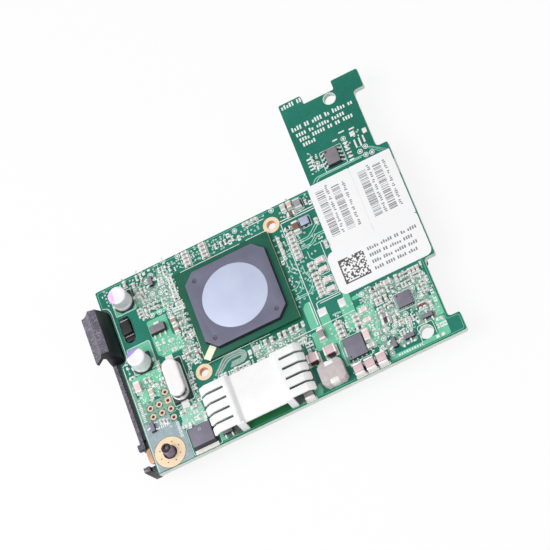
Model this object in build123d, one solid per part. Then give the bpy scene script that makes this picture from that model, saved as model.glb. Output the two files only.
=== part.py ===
from build123d import *
import os
from math import hypot, radians, tan

# A mezzanine network card: a small server board that plugs flat onto a larger one.
# Millimetres. While the pieces are drawn, zero is the lower left corner of the board's top face,
# with X along its long edge, Y towards the tongue and Z up. The last step moves them all, so that
# zero is the middle of the footprint at the height on which the card rests.

# Board outline
board_width = 87.2          # long edge, ears included
board_depth = 82.9          # from the long edge to the end of the tongue
board_thickness = 1.6
main_depth = 56.0           # the wide part, without the tongue
tongue_width = 23.2
ear_reach = 3.2             # how far the ears and the plug zone stand out on the right
low_ear_top = 5.3
plug_zone_bottom = 23.1
plug_zone_top = 58.8
top_ear_depth = 5.8
end_notch_depth = 2.8       # recess in the tongue's end
end_notch_left = 6.5        # from the tongue's left edge
end_notch_width = 9.0
outer_corner_radius = 0.5
waist_corner_radius = 1.1
grip_notch_depth = 1.9      # recess in the left edge, for the clip's grip
grip_notch_bottom = 33.2
grip_notch_top = 49.8
grip_notch_radius = 1.6

# Holes in the board
mounting_hole_radius = 1.7
mounting_hole_from_right = 9.7
mounting_hole_y = 4.0
tongue_hole_radius = 1.6
tongue_hole_from_top = 4.8
plating_wall = 0.12         # copper in a plated hole
plating_rise = 0.06         # copper on the two faces
sink_hole_radius = 1.3
sink_ring_radius = 2.28
sink_hole_places = [(20.35, 20.9), (50.65, 51.3)]
slot_x, slot_y = 5.0, 41.6
slot_width = 3.2
slot_length = 7.4
screw_x, screw_y = 4.85, 4.4
screw_pad_radius = 4.2
screw_hole_radius = 1.9
header_pitch = 2.54
header_x, header_y = 3.75, 15.5
header_hole_radius = 0.45
header_ring_radius = 0.85
header_cells = [(0, 0), (1, 0), (2, 0), (0, 1), (1, 1), (2, 1), (2, 2), (2, -1)]
square_header_pad = 5       # this one of the pads is square

# Controller chip, a moulded grid array
chip_x, chip_y = 35.45, 36.25
chip_side = 27.0
ball_height = 0.45
ball_radius = 0.33
ball_pitch = 1.27
balls_per_side = 20
ball_rows = 1               # rows modelled from the edge inwards
substrate_thickness = 0.56
mould_side = 23.6
mould_corner = 3.0          # cut off each corner
mould_height = 1.17
mould_draft = 12.0
slug_radius = 9.0
slug_inset = 0.4
slug_proud = 0.03
gate_length = 3.9
gate_width = 2.0
gate_thickness = 0.12
dimple_radius = 0.5
dimple_depth = 0.08
dimple_inset = 2.95         # from the mould's straight sides

# Heat sink, one folded and slotted sheet
sink_x = 32.6               # its middle line
sink_front, sink_back = 0.85, 14.7
sink_sheet = 0.5
fin_top = 5.5
plate_top = 4.2
sink_half_span = 14.2
fin_droop = 1.3
fin_droop_run = 1.7
droop_knee_run = 0.45       # the knee of the droop, as shares of its run and its fall
droop_knee_fall = 0.4
fin_slot_end = 7.95         # from the middle line to the slots' closed ends
fin_slot_width = 0.75
fin_count = 5
step_outer = 6.8            # from the middle line to the top of the step
step_inner = 5.9
fold_radius = 0.35
fin_corner_radius = 0.3
sink_leg_width = 1.9
sink_leg_outer = 7.9
sink_leg_below_fins = 0.1

# Power device under the heat sink
cooled_body = (10.0, 8.4, 2.1)
cooled_y = 8.9
cooled_tab = (7.6, 1.3, 0.5)
cooled_lead = (0.8, 1.7, 0.25)
cooled_lead_pitch = 1.7
cooled_lead_count = 5

# Regulator in the lower left
regulator_x = 14.5
regulator_body = (6.6, 6.0, 2.25)
regulator_front = 1.2
regulator_tab = (6.6, 1.05, 0.5)
regulator_lead_offset = 2.2
regulator_lead_width = 0.8
regulator_lead_reach = 2.3
regulator_lead_height = 1.0
regulator_foot = 1.2
regulator_lead_slope = 0.4

# Round electrolytic capacitors
can_places = [(6.65, 49.5), (5.9, 30.65)]
can_radius = 2.5
can_rim_radius = 2.62
can_height = 5.8            # top above the board
can_edge_radius = 0.45
can_groove_height = 2.0
can_groove_depth = 0.22
can_groove_half = 0.3
can_rim_height = 0.35
can_rim_slope = 0.25
can_base_side = 5.3
can_base_height = 0.85
can_base_corner = 1.2
can_tab = (0.65, 0.9, 0.2)
can_tab_inside = 1.2

# Crystal
crystal_x, crystal_y = 12.95, 21.7
crystal_can = (4.3, 11.0)
crystal_height = 3.9
crystal_flange = (4.7, 11.4, 0.4)
crystal_base = (4.9, 11.8, 0.7)
crystal_edge_radius = 0.6
crystal_lead = (2.0, 2.1, 0.15)
crystal_lead_inside = 1.5

# Power inductor
coil_x, coil_y = 51.75, 4.05
coil_body = (6.7, 6.3, 3.0)
coil_corner = 0.9
coil_clip_width = 2.3
coil_clip_sheet = 0.2
coil_clip_lap = 1.2         # how far a clip folds onto the top

# Flat chips: middle x, middle y, length along x, length along y, height
power_chip = (59.35, 8.45, 5.1, 5.9, 1.0)
power_pin_pitch = 1.27
power_pin_count = 4
power_pin_proud = 0.3
power_pad_left = 0.45        # the metal under it shows on the left
power_pad_right = 0.6        # and ends inside on the right
power_pad_front, power_pad_back = 1.5, 1.3
oscillator_chip = (59.2, 47.7, 2.4, 2.4, 1.1)
oscillator_pad_pitch = 1.5
oscillator_pad_width = 0.7
oscillator_pad_proud = 0.15
control_chip_from_waist = -8.6
control_chip_y = 14.8
control_chip_side = 4.0
control_chip_height = 0.9
control_pin_pitch = 0.5
control_pin_count = 7
control_pin_width = 0.26
flat_pin_proud = 0.18
flat_pin_inside = 0.35
memory_from_waist, memory_y = -11.5, 61.3
memory_body = (3.9, 4.9, 1.5)
memory_pin_pitch = 1.27
memory_pin_count = 4
tab_transistor_x, tab_transistor_y = 12.9, 37.85
tab_transistor_body = (4.5, 2.5, 1.5)
tab_transistor_pitch = 1.5

# Leads that bend down to the board
lead_sheet = 0.2
lead_foot = 0.55
lead_reach = 1.05           # from the body's side to the toe
lead_bend = 0.12
lead_lean = 0.25            # how far a lead leans out on its way down, as a share of its height
lead_height_share = 0.45    # where it leaves the body, as a share of the body's height
pin_width = 0.42
body_draft = 7.0
body_standoff = 0.1

# Small transistors: middle x, middle y, the way the body lies, the side with a single lead
small_transistor_body = (2.9, 1.3, 1.0)
small_transistor_pitch = 1.9
left_transistors = [(20.95, 2.5, "x", 1), (15.3, 51.7, "y", -1), (2.8, 12.7, "y", 1)]
waist_transistors = [(-15.05, 4.9, "y", -1), (-10.8, 4.75, "x", -1), (-4.6, 7.8, "x", 1)]

# Filter coil beside the oscillator
filter_x, filter_y = 59.2, 53.2
filter_body = (1.9, 2.0, 1.3)
filter_end = 0.35

# Two-ended chips: length, width, height, length of each metal end
chip_sizes = {"0402": (1.0, 0.5, 0.5, 0.27), "0603": (1.6, 0.8, 0.75, 0.42),
              "0805": (2.0, 1.25, 0.9, 0.5), "1206": (3.2, 1.6, 1.2, 0.6), "1210": (3.2, 2.5, 2.2, 0.55)}
end_proud = 0.03            # the metal ends stand this far outside the body
large_capacitors = [("1210", "x", 48.3, 10.25), ("1210", "x", 53.1, 10.3), ("1210", "y", 58.25, 2.0),
                    ("1210", "y", 61.4, 2.0), ("1210", "y", 64.65, 2.0), ("1210", "y", 44.0, 1.95)]
# Chips by their place on the board: case, the way they lie, x, y
left_chips = [
    ("0603", "y", 10.6, 52.7), ("0402", "x", 12.0, 48.5), ("0402", "x", 12.0, 47.4),
    ("0402", "y", 11.4, 45.3), ("0402", "y", 11.4, 43.7), ("0402", "x", 16.9, 45.3),
    ("0402", "x", 16.9, 43.7), ("0805", "y", 17.5, 38.1), ("0805", "y", 17.5, 35.5),
    ("0402", "x", 19.4, 35.0), ("0402", "x", 20.9, 34.8), ("0402", "x", 20.9, 31.6),
    ("0402", "y", 18.9, 28.6), ("0402", "y", 20.3, 28.6), ("0603", "y", 20.4, 26.4),
    ("0603", "y", 17.9, 27.0), ("0402", "y", 17.2, 24.4), ("0402", "y", 17.2, 22.8),
    ("0402", "y", 17.2, 20.9), ("0402", "y", 17.0, 18.2), ("0402", "y", 5.0, 26.0),
    ("0402", "y", 6.2, 25.8), ("1206", "y", 2.6, 24.9), ("0805", "y", 5.5, 22.0),
    ("0603", "y", 9.6, 27.6), ("0402", "x", 9.3, 22.9), ("0603", "y", 8.4, 54.4),
    ("0402", "y", 12.0, 54.6), ("0402", "y", 13.2, 54.6), ("0402", "y", 12.0, 50.6),
    ("0402", "y", 13.1, 50.6), ("0402", "x", 9.9, 45.6), ("0402", "x", 9.9, 44.6),
    ("0402", "x", 9.9, 43.6), ("0402", "x", 10.6, 42.6), ("0402", "x", 12.9, 45.6),
    ("0402", "x", 14.5, 45.6), ("0402", "x", 14.5, 44.3), ("0402", "x", 12.9, 44.3),
    ("0402", "y", 18.4, 53.8), ("0402", "y", 19.3, 52.6), ("0402", "y", 20.2, 54.5),
    ("0402", "y", 21.2, 52.9), ("0402", "x", 19.3, 38.7), ("0402", "x", 20.9, 38.5),
    ("0402", "x", 19.4, 36.9), ("0402", "x", 20.9, 36.7), ("0402", "x", 19.2, 33.5),
    ("0402", "x", 20.7, 33.2), ("0402", "x", 19.3, 31.9), ("0402", "y", 21.4, 27.0),
    ("0603", "x", 11.8, 12.9), ("0603", "x", 14.9, 12.9), ("0402", "y", 5.2, 13.3),
    ("0402", "y", 6.1, 13.0), ("0402", "y", 7.0, 12.6), ("0402", "y", 1.6, 31.9),
    ("0402", "x", 1.9, 28.4)]
top_row_chips = [
    ("0603", "x", 26.4, 55.0), ("0603", "x", 26.4, 53.8), ("0603", "x", 26.4, 52.6),
    ("0603", "x", 26.4, 51.4), ("0603", "x", 31.5, 55.0), ("0603", "x", 31.5, 53.8),
    ("0603", "x", 31.5, 52.6), ("0603", "x", 31.5, 51.4), ("0402", "y", 34.8, 52.8),
    ("0402", "y", 36.4, 52.8), ("0402", "y", 37.6, 52.8), ("0402", "y", 39.8, 52.8),
    ("0603", "x", 44.5, 54.9), ("0603", "x", 46.9, 54.9)]
low_row_chips = [
    ("0603", "y", 38.1, 20.7), ("0603", "y", 39.9, 20.7), ("0603", "y", 42.2, 20.7),
    ("0603", "y", 43.6, 20.7), ("0603", "y", 45.4, 20.7), ("0603", "y", 47.2, 20.7)]
middle_chips = [
    ("0603", "y", 50.9, 46.0), ("0603", "y", 50.9, 43.6), ("0603", "y", 50.9, 41.2),
    ("0805", "x", 59.2, 35.4), ("0805", "x", 59.2, 32.7), ("0805", "x", 59.2, 29.3),
    ("0805", "x", 59.2, 26.6), ("1206", "y", 56.6, 47.2), ("0805", "x", 56.7, 51.5),
    ("0805", "y", 55.2, 54.2), ("0805", "y", 57.0, 54.2), ("0603", "y", 62.2, 39.0),
    ("0603", "x", 54.4, 48.0), ("0603", "x", 54.4, 46.3), ("0603", "x", 54.4, 45.1),
    ("0603", "x", 54.4, 43.9), ("0603", "x", 54.4, 42.6), ("0603", "x", 54.4, 41.4),
    ("0603", "x", 54.4, 40.0), ("0603", "x", 54.4, 38.9), ("0603", "x", 56.6, 35.6),
    ("0603", "x", 56.6, 34.2), ("0603", "x", 56.6, 32.4), ("0603", "x", 56.6, 31.0),
    ("0603", "x", 56.6, 29.6), ("0603", "x", 56.6, 28.4), ("0603", "x", 56.6, 27.3),
    ("0603", "x", 56.6, 26.2), ("0402", "y", 61.3, 53.0)]
power_chips = [
    ("0805", "x", 64.8, 17.0), ("0805", "x", 64.8, 14.0), ("1206", "y", 63.1, 10.2),
    ("0805", "x", 63.2, 7.0), ("1206", "y", 52.4, 15.8), ("0402", "y", 65.5, 11.6),
    ("0603", "x", 57.4, 16.9), ("0603", "x", 57.4, 15.5), ("0603", "x", 57.4, 14.2),
    ("0603", "x", 57.4, 12.9), ("0603", "x", 62.3, 16.6), ("0603", "x", 62.3, 15.4),
    ("0603", "x", 62.3, 14.0), ("0603", "x", 62.3, 12.8)]
# These are placed from the board's waist line, and lie to its left.
corner_chips = [
    ("0603", "x", -15.0, 21.2), ("0603", "x", -13.1, 21.4), ("0805", "x", -10.9, 21.3),
    ("0603", "y", -8.4, 21.4), ("0402", "x", -6.8, 21.7), ("0402", "x", -5.6, 21.7),
    ("0402", "x", -6.8, 20.6), ("0402", "x", -5.6, 20.6), ("0603", "x", -15.2, 19.6),
    ("0603", "x", -13.3, 19.6), ("0402", "y", -11.6, 19.6), ("0402", "y", -10.4, 18.9),
    ("0805", "x", -14.8, 12.9), ("0805", "x", -14.9, 11.3), ("0603", "y", -12.7, 11.0),
    ("0603", "y", -5.5, 11.1), ("0603", "y", -4.4, 11.1), ("0402", "x", -2.6, 17.6),
    ("0402", "x", -2.6, 16.6), ("0402", "x", -2.6, 15.5), ("0402", "x", -2.6, 14.5),
    ("0603", "y", -2.8, 10.4), ("0402", "x", -3.7, 19.3), ("0402", "x", -2.0, 19.2),
    ("0603", "y", -4.6, 21.3), ("0603", "y", -3.5, 21.3), ("0603", "y", -2.4, 21.3),
    ("0402", "y", -8.7, 18.8), ("0402", "y", -7.6, 18.8), ("0402", "y", -6.7, 18.8),
    ("0402", "y", -5.7, 18.8), ("0402", "y", -4.7, 19.2), ("0603", "y", -15.3, 17.6),
    ("0603", "y", -14.2, 17.6), ("0603", "y", -12.8, 17.6), ("0402", "x", -12.0, 15.9),
    ("0402", "x", -13.4, 15.7), ("0402", "x", -12.6, 14.8), ("0402", "x", -15.3, 15.6),
    ("0402", "x", -15.3, 14.5), ("0402", "x", -11.5, 9.9), ("0402", "x", -11.5, 9.0),
    ("0402", "x", -9.7, 9.6), ("0402", "x", -9.7, 8.8), ("0402", "y", -8.3, 9.1),
    ("0402", "y", -12.6, 6.7), ("0402", "y", -11.7, 6.9), ("0402", "x", -12.9, 5.2),
    ("0402", "y", -3.9, 14.3), ("0402", "y", -4.1, 16.4)]
tongue_chips = [
    ("0402", "y", -7.2, 62.9), ("0402", "y", -7.2, 60.0), ("0402", "y", -16.9, 63.8),
    ("0402", "y", -16.9, 62.0)]

# Labels
label_thickness = 0.1
label_left_from_right_edge = 24.3
label_split_from_right_edge = 12.2
label_margin = 0.3          # bare board at the right edge
barcode_label_top = 56.6
data_label_bottom = 23.4
data_label_top = 36.2
data_label_overhang = 1.9   # the data label starts this far left of the others
data_label_radius = 1.8
barcode_label_radius = 0.4

# Edge clip, one plastic moulding
rest_depth = 6.0            # from the board's underside to the plane on which the card rests
rail_gap = 1.2              # between the board's edge and the clip's outer wall
rail_wall = 1.1
rail_bottom, rail_top = 9.0, 34.5
rail_rise = 0.4             # the outer wall's top edge lies this far above the board's underside
clip_floor = 1.4            # its plate under the board
clip_floor_reach = 2.6      # how far the plate goes under the board
clip_floor_front = 1.4      # it and the screw's head stay hidden behind the board's front edge
ledge_start = 2.4           # the ledge under the board starts this far up the rail
slot_frame = 0.6            # the ledge is this much wider than the slot
lug_reach, lug_width, lug_height = 0.9, 1.6, 1.5
grip_clearance = 0.3        # to the notch in the board
grip_top = 49.0
grip_height = 5.0           # the inner edge of the grip above the board
grip_inner_x = -0.4
peak_x, peak_z = -2.4, 5.6
dip_x, dip_z = -2.8, 4.9
lip_x, lip_z = -5.3, 2.6
lip_thickness = 1.0
lip_arc_radius = 4.5
lip_edge_lean = 0.35
under_lip = (0.6, 2.4)      # the lip's underside near the rail, outwards of it and below the peak
under_lip_end = 2.9         # where it meets the rail, below the peak
grip_slant = 1.3            # the grip's lower end slants this much up to its top
grip_pocket_wall = 1.2
leg_bottom, leg_top = 2.6, 4.0
leg_head_x = -3.6
leg_thickness = 1.7
leg_lean = 1.0
leg_strut_start = 1.0       # the strut to the plate starts this far inside the leg's head
leg_strut_lap = 0.5         # and ends this far inside the plate
rail_end_length = 3.0       # the rail's front end is only this long, and this deep
rail_end_depth = 2.0
floor_round_screw = 5.4     # half width of the clip's plate around the bushing
hook_width = 2.5
hook_front, hook_back = -1.1, 2.9   # from the slot's middle
hook_barb = 0.35
hook_gap = 0.05             # from the barb to the board's top face
hook_rise = 0.7
latch_front, latch_back = -2.9, -1.4
latch_drop = 0.6

# Brass bushing and the screw in it
bushing_flange_radius = 4.4
bushing_flange_thickness = 0.8
bushing_radius = 3.1
bushing_clearance = 0.15
bushing_floor_clearance = 0.2
bushing_edge_margin = 0.5   # the flange is cut flat this far inside the board's front edge
bushing_tab = (-1.6, 4.0, 4.3, 8.8)   # left, right, front and back of the tab at the board's edge
bushing_tab_corner = 1.2
screw_radius = 1.35
screw_clearance = 0.15
screw_rise = 3.5
screw_head_radius = 2.2
screw_head_height = 1.6
screw_tip_chamfer = 0.35
screw_socket_radius = 0.7
screw_socket_depth = 0.8

# Plug on the underside
plug_from_right = 12.2      # its middle, from the board's right edge
plug_y = 40.0
plug_size = (17.8, 31.0)
plug_rim = 1.0
plug_recess = 1.6
plug_corner = 0.8
plug_key_width = 3.0
plug_key_depth = 0.5
plug_key_stop = 1.0
contact_pitch = 1.27
contact_columns, contact_rows = 10, 20
contact_size = (0.6, 0.25)
contact_height = 1.1

# Small parts on the underside
bottom_chips = [(20.0, 40.0, "x"), (52.0, 22.0, "y")]
bottom_chip_body = (4.9, 3.9, 1.5)
decoupling_columns, decoupling_rows = 5, 5
decoupling_pitch = 3.2
bottom_fired_chips = [("0603", "x", 50.0, 34.0), ("0603", "x", 50.0, 36.0), ("0603", "x", 50.0, 38.0),
                     ("0603", "x", 50.0, 40.0), ("0805", "y", 57.0, 12.0), ("0805", "y", 59.5, 12.0),
                     ("0805", "y", 62.0, 12.0), ("0603", "y", 26.0, 10.0), ("0603", "y", 28.0, 10.0),
                     ("0603", "y", 30.0, 10.0), ("0603", "y", 14.0, 30.0), ("0603", "y", 16.0, 30.0)]

# Lines that several pieces share
waist_x = board_width - ear_reach
tongue_left = board_width - tongue_width
mounting_hole_x = board_width - mounting_hole_from_right
board_bottom = -board_thickness
rest_z = board_bottom - rest_depth
rail_outer_x = -rail_gap - rail_wall
label_left = board_width - label_left_from_right_edge
label_split = board_width - label_split_from_right_edge
plug_x = board_width - plug_from_right


# Basic shapes

def block(x0, x1, y0, y1, z0, z1):
    return Pos((x0 + x1) / 2, (y0 + y1) / 2, (z0 + z1) / 2) * Box(x1 - x0, y1 - y0, z1 - z0)


def block_on(cx, cy, size, z0=0.0):
    length, width, height = size
    return block(cx - length / 2, cx + length / 2, cy - width / 2, cy + width / 2, z0, z0 + height)


def disc(cx, cy, radius, z0, z1):
    return Pos(cx, cy, z0) * extrude(Circle(radius), z1 - z0)


def filled(points, radii):
    return make_face(FilletPolyline(*points, radius=radii, close=True))


def along_y(face, y0, y1):
    # A face drawn with x and z, carried from y0 to y1.
    return Pos(0, y1, 0) * (Plane.XZ * extrude(face, y1 - y0))


def turned(shape, cx, cy, angle):
    # A shape drawn about zero, turned about Z and set down at a place.
    return Pos(cx, cy, 0) * (Rot(0, 0, angle) * shape)


def on_underside(shape):
    # A shape drawn on the top face, reflected to the board's underside.
    return Pos(0, 0, board_bottom) * mirror(shape, about=Plane.XY)


def beside(points, distance):
    # The line that runs at a distance to the left of a line of points.
    out = []
    count = len(points)
    for i, (x, y) in enumerate(points):
        ways = []
        for a, b in ((i - 1, i), (i, i + 1)):
            if a >= 0 and b < count:
                dx, dy = points[b][0] - points[a][0], points[b][1] - points[a][1]
                ways.append((-dy / hypot(dx, dy), dx / hypot(dx, dy)))
        nx, ny = sum(w[0] for w in ways), sum(w[1] for w in ways)
        scale = 2 / (nx * nx + ny * ny) if len(ways) == 2 else 1
        out.append((x + nx * scale * distance, y + ny * scale * distance))
    return out


def folded(points, sheet, inner_radius):
    # The cut edge of a bent sheet: its middle line is given, and its bends are rounded.
    left, right = beside(points, sheet / 2), beside(points, -sheet / 2)
    inner_left, inner_right = [], []
    for a, b, c in zip(points, points[1:], points[2:]):
        left_turn = (b[0] - a[0]) * (c[1] - b[1]) > (b[1] - a[1]) * (c[0] - b[0])
        inner_left.append(inner_radius if left_turn else inner_radius + sheet)
        inner_right.append(inner_radius + sheet if left_turn else inner_radius)
    radii = [0] + inner_left + [0, 0] + inner_right[::-1] + [0]
    return filled(left + right[::-1], radii)


def moulded_body(cx, cy, size, z0=body_standoff):
    # A chip's black body: its sides slope in a little towards the top.
    length, width, height = size
    return Pos(cx, cy, z0) * extrude(Rectangle(length, width), height - z0, taper=body_draft)


def bent_lead(body_side, height, width):
    # A lead that leaves a body's side towards +X at a height and ends in a flat foot.
    toe = body_side + lead_reach
    knee = toe - lead_foot
    bend, foot_z = knee - height * lead_lean, lead_sheet / 2
    line = [(body_side, height), (bend, height), (knee, foot_z), (toe, foot_z)]
    return along_y(folded(line, lead_sheet, lead_bend), -width / 2, width / 2)


# Board

def circuit_board():
    notch_floor = board_depth - end_notch_depth
    notch_left = tongue_left + end_notch_left
    small, waist, grip = outer_corner_radius, waist_corner_radius, grip_notch_radius
    corners = [
        (0, 0, small), (board_width, 0, small), (board_width, low_ear_top, small),
        (waist_x, low_ear_top, waist),
        (waist_x, plug_zone_bottom, waist), (board_width, plug_zone_bottom, small),
        (board_width, plug_zone_top, small), (waist_x, plug_zone_top, waist),
        (waist_x, board_depth - top_ear_depth, waist), (board_width, board_depth - top_ear_depth, small),
        (board_width, board_depth, small), (notch_left + end_notch_width, board_depth, small),
        (notch_left + end_notch_width, notch_floor, small), (notch_left, notch_floor, small),
        (notch_left, board_depth, small), (tongue_left, board_depth, small), (tongue_left, main_depth, small),
        (0, main_depth, small), (0, grip_notch_top, small), (grip_notch_depth, grip_notch_top, grip),
        (grip_notch_depth, grip_notch_bottom, grip), (0, grip_notch_bottom, small)]
    outline = filled([(x, y) for x, y, r in corners], [r for x, y, r in corners])
    outline -= Pos(mounting_hole_x, mounting_hole_y) * Circle(mounting_hole_radius)
    outline -= Pos(mounting_hole_x, board_depth - tongue_hole_from_top) * Circle(tongue_hole_radius)
    outline -= Pos(slot_x, slot_y) * (Rot(0, 0, 90) * SlotOverall(slot_length, slot_width))
    outline -= Pos(screw_x, screw_y) * Circle(screw_hole_radius + plating_wall)
    for x, y in sink_hole_places:
        outline -= Pos(x, y) * Circle(sink_hole_radius)
    for x, y in header_places():
        outline -= Pos(x, y) * Circle(header_hole_radius + plating_wall)
    return [Pos(0, 0, board_bottom) * extrude(outline, board_thickness)]


def header_places():
    return [(header_x + column * header_pitch, header_y + row * header_pitch) for column, row in header_cells]


def plated_hole(cx, cy, hole_radius, ring_radius, square=False):
    # Copper that lines a hole and laps onto both faces.
    ring = Rectangle(2 * ring_radius, 2 * ring_radius) if square else Circle(ring_radius)
    top = extrude(ring, plating_rise)
    bottom = Pos(0, 0, board_bottom - plating_rise) * extrude(ring, plating_rise)
    barrel = Pos(0, 0, board_bottom) * extrude(Circle(hole_radius + plating_wall), board_thickness)
    bore = extrude(Circle(hole_radius), board_thickness + 2 * plating_rise)
    bore = Pos(0, 0, board_bottom - plating_rise) * bore
    return Pos(cx, cy, 0) * (top + barrel + bottom - bore)


def sink_hole_rings():
    # Bare copper round the two holes, flat on both faces of the board.
    ring = extrude(Circle(sink_ring_radius) - Circle(sink_hole_radius), plating_rise)
    return [Pos(x, y, z) * ring for x, y in sink_hole_places for z in (0, board_bottom - plating_rise)]


def screw_pad():
    return [plated_hole(screw_x, screw_y, screw_hole_radius, screw_pad_radius)]


def header_pads():
    return [plated_hole(x, y, header_hole_radius, header_ring_radius, square=i == square_header_pad)
            for i, (x, y) in enumerate(header_places())]


# Controller chip

def cut_square(side, corner):
    half = side / 2
    inner = half - corner
    return make_face(Polyline((-inner, -half), (inner, -half), (half, -inner), (half, inner), (inner, half),
                              (-inner, half), (-half, inner), (-half, -inner), close=True))


def controller_balls():
    ball = extrude(Circle(ball_radius), ball_height)
    first = -(balls_per_side - 1) / 2 * ball_pitch
    balls = []
    for i in range(balls_per_side):
        for j in range(balls_per_side):
            edge = min(i, j, balls_per_side - 1 - i, balls_per_side - 1 - j)
            if edge < ball_rows:
                balls.append(Pos(chip_x + first + i * ball_pitch, chip_y + first + j * ball_pitch, 0) * ball)
    return balls


def controller_substrate():
    return [block_on(chip_x, chip_y, (chip_side, chip_side, substrate_thickness), ball_height)]


def mould_bottom():
    return ball_height + substrate_thickness


def controller_mould():
    body = extrude(cut_square(mould_side, mould_corner), mould_height, taper=mould_draft)
    body -= Pos(0, 0, mould_height - slug_inset) * extrude(Circle(slug_radius), slug_inset)
    reach = mould_side / 2 - dimple_inset
    for sx, sy in ((-1, 1), (1, -1), (-1, -1)):
        body -= Pos(sx * reach, sy * reach, mould_height - dimple_depth) * extrude(Circle(dimple_radius), 1)
    return [Pos(chip_x, chip_y, mould_bottom()) * body]


def controller_heat_slug():
    top = mould_bottom() + mould_height
    return [disc(chip_x, chip_y, slug_radius, top - slug_inset, top + slug_proud)]


def controller_gate():
    # The strip of gold where the mould was filled, across the lower left corner.
    middle = (mould_side - mould_corner) / 2 + gate_length / 2 / 2 ** 0.5
    strip = turned(block_on(0, 0, (gate_length, gate_width, gate_thickness), mould_bottom()),
                   chip_x - middle, chip_y - middle, 45)
    return [strip]


# Heat sink

def heat_sink():
    mid_fin, mid_plate = fin_top - sink_sheet / 2, plate_top - sink_sheet / 2
    knee_x, knee_z = sink_half_span - fin_droop_run * droop_knee_run, mid_fin - fin_droop * droop_knee_fall
    half = [(sink_half_span, mid_fin - fin_droop), (knee_x, knee_z), (sink_half_span - fin_droop_run, mid_fin),
            (step_outer, mid_fin), (step_inner, mid_plate)]
    line = [(-x, z) for x, z in half] + half[::-1]
    sheet = along_y(folded(line, sink_sheet, fold_radius), sink_front, sink_back)
    fin_width = (sink_back - sink_front - (fin_count - 1) * fin_slot_width) / fin_count
    for side in (-1, 1):
        for i in range(1, fin_count):
            y0 = sink_front + i * fin_width + (i - 1) * fin_slot_width
            x0, x1 = sorted((side * fin_slot_end, side * (sink_half_span + sink_sheet)))
            sheet -= block(x0, x1, y0, y0 + fin_slot_width, 0, fin_top + 1)
    tips = sheet.faces().filter_by(lambda f: abs(f.center().X) > sink_half_span - sink_sheet / 4)
    corners = tips.edges().filter_by(lambda e: abs((e @ 0).Y - (e @ 1).Y) < sink_sheet / 2)
    sheet = fillet(corners, fin_corner_radius)
    leg_top_z = fin_top - sink_sheet / 2 - sink_leg_below_fins
    for side in (-1, 1):
        x0, x1 = sorted((side * sink_leg_outer, side * (sink_leg_outer - sink_leg_width)))
        for y in (sink_front, sink_back):
            sheet += block(x0, x1, y - sink_sheet / 2, y + sink_sheet / 2, 0, leg_top_z)
    return [Pos(sink_x, 0, 0) * sheet]


def cooled_device_body():
    return [moulded_body(sink_x, cooled_y, cooled_body, 0.0)]


def cooled_device_tab():
    return [block_on(sink_x, cooled_y - cooled_body[1] / 2 - cooled_tab[1] / 2, cooled_tab)]


def cooled_device_leads():
    width, reach, thickness = cooled_lead
    first = -(cooled_lead_count - 1) / 2 * cooled_lead_pitch
    return [block_on(sink_x + first + i * cooled_lead_pitch, cooled_y + cooled_body[1] / 2 + reach / 2,
                     (width, reach, thickness)) for i in range(cooled_lead_count)]


# Leaded chips

def side_at(half, z, z0=body_standoff):
    # How far a sloping moulded side stands from the middle at a height.
    return half - (z - z0) * tan(radians(body_draft))


def row_of_leads(cx, cy, half, body_height, pitch, count, angle, width=pin_width):
    # A row of bent leads on the side that the angle points to.
    height = body_height * lead_height_share
    lead = bent_lead(side_at(half, height - lead_sheet / 2), height, width)
    first = -(count - 1) / 2 * pitch
    return [turned(Pos(0, first + i * pitch, 0) * lead, cx, cy, angle) for i in range(count)]


def regulator_body_piece():
    return [moulded_body(regulator_x, regulator_front + regulator_body[1] / 2, regulator_body, 0.0)]


def regulator_tab_piece():
    return [block_on(regulator_x, regulator_front - regulator_tab[1] / 2, regulator_tab)]


def regulator_leads():
    back = regulator_front + regulator_body[1]
    height = regulator_lead_height
    start = back - (height - lead_sheet) * tan(radians(body_draft))
    toe = back + regulator_lead_reach
    knee = toe - regulator_foot
    line = [(start, height), (knee - regulator_lead_slope, height), (knee, lead_sheet), (toe, lead_sheet)]
    lead = along_y(folded(line, 2 * lead_sheet, lead_bend), -regulator_lead_width / 2, regulator_lead_width / 2)
    return [turned(lead, regulator_x + side * regulator_lead_offset, 0, 90) for side in (-1, 1)]


def memory_centre():
    return waist_x + memory_from_waist, memory_y


def memory_body_piece():
    cx, cy = memory_centre()
    return [moulded_body(cx, cy, memory_body)]


def memory_leads():
    cx, cy = memory_centre()
    return [lead for angle in (0, 180) for lead in
            row_of_leads(cx, cy, memory_body[0] / 2, memory_body[2], memory_pin_pitch, memory_pin_count, angle)]


def tab_transistor_body_piece():
    return [moulded_body(tab_transistor_x, tab_transistor_y, tab_transistor_body, 0.0)]


def tab_transistor_leads():
    half = tab_transistor_body[1] / 2
    front, back = tab_transistor_y - half, tab_transistor_y + half
    legs = []
    for i in (-1, 0, 1):
        x = tab_transistor_x + i * tab_transistor_pitch
        legs.append(block(x - pin_width / 2, x + pin_width / 2, front - lead_reach, front, 0, 2 * lead_sheet))
    tab = block(tab_transistor_x - tab_transistor_pitch / 2, tab_transistor_x + tab_transistor_pitch / 2, back,
                back + lead_reach, 0, 2 * lead_sheet)
    return legs + [tab]


def small_transistor_places():
    moved = [(waist_x + x, y, way, single) for x, y, way, single in waist_transistors]
    return [(x, y, 0 if way == "x" else 90, single) for x, y, way, single in left_transistors + moved]


def small_transistor_bodies():
    return [turned(moulded_body(0, 0, small_transistor_body), x, y, angle)
            for x, y, angle, single in small_transistor_places()]


def small_transistor_leads():
    leads = []
    half, height = small_transistor_body[1] / 2, small_transistor_body[2]
    for x, y, angle, single in small_transistor_places():
        leads += row_of_leads(x, y, half, height, small_transistor_pitch, 1, angle + 90 * single)
        leads += row_of_leads(x, y, half, height, small_transistor_pitch, 2, angle - 90 * single)
    return leads


# Flat chips, with their metal in line with their sides

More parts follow.
